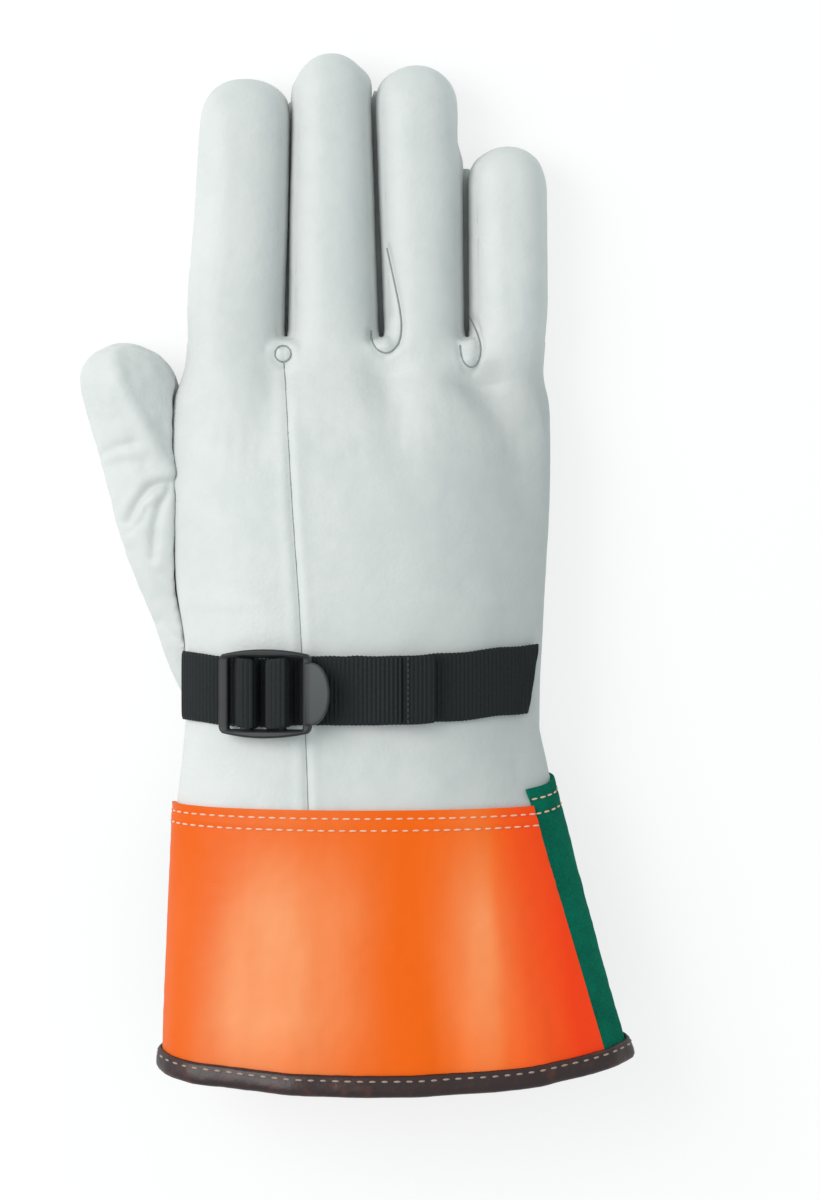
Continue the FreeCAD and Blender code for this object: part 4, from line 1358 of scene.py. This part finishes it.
def rounded(corners, radius, count=7):
    # a polygon with its corners rounded
    loop = []
    size = len(corners)
    for i, corner in enumerate(corners):
        corner = np.array(corner, float)
        before = np.array(corners[i - 1], float) - corner
        after = np.array(corners[(i + 1) % size], float) - corner
        a = corner + before / np.linalg.norm(before) * radius
        b = corner + after / np.linalg.norm(after) * radius
        for t in np.linspace(0, 1, count):
            loop.append((1 - t) ** 2 * a + 2 * t * (1 - t) * corner + t ** 2 * b)
    return loop


def makeBuckle():
    look = buckleSize
    long, end, bulge, slotHalf = look["length"], look["halfEnd"], look["bulge"], look["halfSlot"]
    top = [(x, end + bulge * (1 - (2 * x / long - 1) ** 2)) for x in np.linspace(1.2, long - 1.2, 30)]
    outline = [(0.0, -end + 1.6), (0.0, end - 1.6), (0.35, end - 0.5)] + top
    outline += [(long - 0.35, end - 0.5), (long, end - 1.6), (long, -end + 1.6), (long - 0.35, -end + 0.5)]
    outline += [(x, -y) for x, y in reversed(top)] + [(0.35, -end + 0.5)]
    holes = [rounded([(a, -slotHalf), (b, -slotHalf), (b, slotHalf), (a, slotHalf)], 0.5)
             for a, b in look["slots"]]
    plate = flatShape("bucklePlate", outline, holes, look["thick"], look["round"])
    points = arraysOf(plate)[0]
    # the bars sit a little lower than the rails, and the rails arch
    rail = ramped(np.abs(points[:, 1]) - slotHalf, 1.0)
    arch = 0.9 * (1 - (2 * points[:, 0] / long - 1) ** 2)
    points[:, 2] = points[:, 2] * (0.8 + 0.2 * rail) + rail * arch * 0.8 + look["thick"] / 2
    setVerts(plate, points)
    tabLong = look["tabLength"]
    turn = np.linspace(-math.pi / 2, math.pi / 2, 40)
    tabOutline = [(long - 1.6, -look["tabHalf"])] + [
        (long - 0.6 + tabLong * math.cos(a) ** 0.85, look["tabHalf"] * math.sin(a)) for a in turn]
    tabOutline += [(long - 1.6, look["tabHalf"])]
    tab = flatShape("buckleTab", tabOutline, [], look["tabThick"], 0.6)
    tabPoints = arraysOf(tab)[0]
    away = tabPoints[:, 0] - long
    tabPoints[:, 2] += look["thick"] - 0.7 + 0.05 * np.clip(away, 0, 8) ** 1.5
    setVerts(tab, tabPoints)
    verts, faces = [], []
    for part in (plate, tab):
        here = arraysOf(part)[0]
        faces += [tuple(i + len(verts) for i in poly.vertices) for poly in part.data.polygons]
        verts += list(onBuckle(here[:, 0], here[:, 1], here[:, 2]))
        bpy.data.objects.remove(part)
    made = newObject("buckleFrame", verts, faces, acetal)
    made.data.shade_smooth()
    made.data.set_sharp_from_angle(angle=math.radians(40))
    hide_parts("buckle_frame")
    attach(made, "buckle")


makeBuckle()
print("stage: buckle")


# stitches: one node tree sets thread along a line, as short rounded lengths that dip into the cloth

def makeStitchTree():
    tree = bpy.data.node_groups.new("stitches", "GeometryNodeTree")
    face = tree.interface
    face.new_socket("Geometry", in_out="INPUT", socket_type="NodeSocketGeometry")
    for name, start in (("Pitch", 0.0034), ("Length", 0.0025), ("Thickness", 0.0007), ("Unevenness", 0.12)):
        made = face.new_socket(name, in_out="INPUT", socket_type="NodeSocketFloat")
        made.default_value = start
    face.new_socket("Thread", in_out="INPUT", socket_type="NodeSocketMaterial")
    face.new_socket("Geometry", in_out="OUTPUT", socket_type="NodeSocketGeometry")
    given = addNode(tree, "NodeGroupInput").outputs
    points = addNode(tree, "GeometryNodeCurveToPoints",
                     {"Curve": given["Geometry"], "Length": given["Pitch"]}, mode="LENGTH")
    facing = addNode(tree, "FunctionNodeAlignRotationToVector",
                     {"Vector": points.outputs["Tangent"]}, axis="X")
    bead = addNode(tree, "GeometryNodeMeshUVSphere", {"Segments": 8, "Rings": 6, "Radius": 0.5})
    smooth = addNode(tree, "GeometryNodeSetShadeSmooth", {"Geometry": bead.outputs["Mesh"]})
    uneven = addNode(tree, "FunctionNodeRandomValue", {"Seed": 4}, data_type="FLOAT")
    tree.links.new(mathOf(tree, "SUBTRACT", 1.0, given["Unevenness"]), uneven.inputs[2])
    tree.links.new(mathOf(tree, "ADD", 1.0, given["Unevenness"]), uneven.inputs[3])
    size = addNode(tree, "ShaderNodeCombineXYZ", {
        "X": mathOf(tree, "MULTIPLY", given["Length"], uneven.outputs[1]),
        "Y": given["Thickness"], "Z": given["Thickness"]})
    beads = addNode(tree, "GeometryNodeInstanceOnPoints", {
        "Points": points.outputs["Points"], "Instance": smooth.outputs["Geometry"],
        "Rotation": facing.outputs["Rotation"], "Scale": size.outputs["Vector"]})
    real = addNode(tree, "GeometryNodeRealizeInstances", {"Geometry": beads.outputs["Instances"]})
    threaded = addNode(tree, "GeometryNodeSetMaterial", {"Geometry": real.outputs["Geometry"],
                                                         "Material": given["Thread"]})
    addNode(tree, "NodeGroupOutput", {"Geometry": threaded.outputs["Geometry"]})
    return tree


stitchTree = makeStitchTree()
# pitch, length and thickness of each kind of stitch
stitchSize = {"cuff": (3.0, 2.3, 0.62), "suede": (3.0, 2.2, 0.62), "binding": (3.5, 2.1, 0.65),
              "tack": (1.6, 1.25, 0.5)}


def stitchRow(name, points, kind, thread, body):
    pitch, length, thick = stitchSize[kind]
    curve = bpy.data.curves.new(name, "CURVE")
    curve.dimensions = "3D"
    line = curve.splines.new("POLY")
    line.points.add(len(points) - 1)
    line.points.foreach_set("co", np.hstack([points * mm, np.ones((len(points), 1))]).ravel())
    holder = linked(name, curve)
    sewn = holder.modifiers.new("stitches", "NODES")
    sewn.node_group = stitchTree
    values = {"Pitch": pitch * mm, "Length": length * mm, "Thickness": thick * mm, "Thread": thread}
    for item in stitchTree.interface.items_tree:
        if item.in_out == "INPUT" and item.name in values:
            sewn[item.identifier] = values[item.name]
    mesh = evaluatedMesh(holder)
    bpy.data.objects.remove(holder)
    mesh.name = name
    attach(linked(name, mesh), body)


def laidOn(tree, points, outward, lift):
    # points moved onto a surface, coming in from outside
    laid = []
    for point, away in zip(points, outward):
        hit = tree.ray_cast(Vector(point + away * 6), Vector(-away), 12)[0]
        laid.append(np.array(hit if hit else point) + away * lift)
    return np.array(laid)


def coneRow(lineAt, low, high, count, arched=False):
    turn = np.linspace(low, high, count)
    lines = archedLine(turn, lineAt) if arched else lineAt
    points = cuffPoint(turn, lines)
    wider = cuffPoint(turn, lines, 1.0)
    away = wider - points
    return points, away / np.linalg.norm(away, axis=1)[:, None]


clothTree = treeFrom(bpy.data.objects["cuffBack"])
for i, row in enumerate(cuffSize["rows"]):
    at = cuffSize["top"] - row
    points, away = coneRow(at, seamTurn(at) + 0.03, math.pi - 0.03, 600, True)
    stitchRow("cuffStitches%d" % (i + 1), laidOn(clothTree, points, away, 0.1), "cuff", pinkThread, "hand")
suedeTree = treeFrom(bpy.data.objects["cuffPalm"])
for i, row in enumerate(cuffSize["suedeRows"]):
    at = cuffSize["suedeTop"] - row
    points, away = coneRow(at, -math.pi + 0.95, seamTurn(at) - 0.05, 600)
    stitchRow("suedeStitches%d" % (i + 1), laidOn(suedeTree, points, away, 0.1), "suede", pinkThread, "hand")
edgeTree = treeFrom(bpy.data.objects["binding"])
points, away = coneRow(cuffSize["hem"] + cuffSize["bindingRow"], 0, 2 * math.pi, 1200)
stitchRow("bindingStitches", laidOn(edgeTree, points, away, 0.05), "binding", tanThread, "hand")
tackX = hemLow[0] + 1.3
tack = np.array([(tackX, y, tailPoint(tackX, 4.95)) for y in np.linspace(
    rising(tackX) - 9.0, rising(tackX) + 9.0, 40)])
stitchRow("tailTack", tack, "tack", blackThread, "tail")
print("stage: stitches")


# the table top, the light and the camera

# key: place, size, power, colour
lightSize = {"key": ((-1.0, 0.35, 1.05), 1.0, 14.8, (1.0, 0.955, 0.945)), "sky": 0.78, "paper": 0.75}
cameraSize = {"place": (0.01577, -0.00745, 1.52), "sensor": 36, "from": 1.5, "sees": 0.3504, "far": 20}


def makeFloor():
    # white paper; the camera sees most of it as plain white, so its shadows stay faint
    made, tree, shader = newMaterial("white-paper", Roughness=0.9)
    shader.inputs["Base Color"].default_value = colour("#f6f7f7")
    shader.inputs["Specular IOR Level"].default_value = 0.0
    path = addNode(tree, "ShaderNodeLightPath")
    white = addNode(tree, "ShaderNodeEmission", {"Color": (1, 1, 1, 1), "Strength": 1.0})
    share = mathOf(tree, "MULTIPLY", path.outputs["Is Camera Ray"], lightSize["paper"])
    both = addNode(tree, "ShaderNodeMixShader", {0: share, 1: shader.outputs[0], 2: white.outputs[0]})
    tree.links.new(both.outputs[0], tree.nodes["Material Output"].inputs["Surface"])
    corners = [(x, y, -0.4) for x, y in ((-2500, -2500), (2500, -2500), (2500, 2500), (-2500, 2500))]
    return newObject("paper", corners, [(0, 1, 2, 3)], made, False)


def aimed(obj, target):
    obj.rotation_euler = (Vector(target) - obj.location).to_track_quat("-Z", "Y").to_euler()
    return obj


def makeLight(name):
    place, size, power, tint = lightSize[name]
    lamp = bpy.data.lights.new(name, "AREA")
    lamp.shape = "SQUARE"
    lamp.size = size
    lamp.energy = power
    lamp.color = tint
    made = linked(name, lamp)
    made.location = place
    return aimed(made, (0.0, -0.01, 0.0))


def makeSky():
    world = bpy.data.worlds.new("studio")
    world.use_nodes = True
    tree = world.node_tree
    tree.nodes.clear()
    path = addNode(tree, "ShaderNodeLightPath")
    dim = addNode(tree, "ShaderNodeBackground", {"Color": colour("#f2fffe"), "Strength": lightSize["sky"]})
    white = addNode(tree, "ShaderNodeBackground", {"Color": (1, 1, 1, 1), "Strength": 1.0})
    both = addNode(tree, "ShaderNodeMixShader", {0: path.outputs["Is Camera Ray"], 1: dim.outputs[0],
                                                 2: white.outputs[0]})
    addNode(tree, "ShaderNodeOutputWorld", {"Surface": both.outputs[0]})
    bpy.context.scene.world = world


def makeCamera():
    lens = bpy.data.cameras.new("camera")
    made = linked("camera", lens)
    made.location = cameraSize["place"]
    lens.lens = cameraSize["sensor"] * cameraSize["from"] / cameraSize["sees"]
    lens.sensor_width = cameraSize["sensor"]
    lens.clip_end = cameraSize["far"]
    bpy.context.scene.camera = made
    return made


makeFloor()
makeLight("key")
makeCamera()
makeSky()
bpy.context.scene.view_settings.view_transform = "Standard"
print("stage: light and camera")
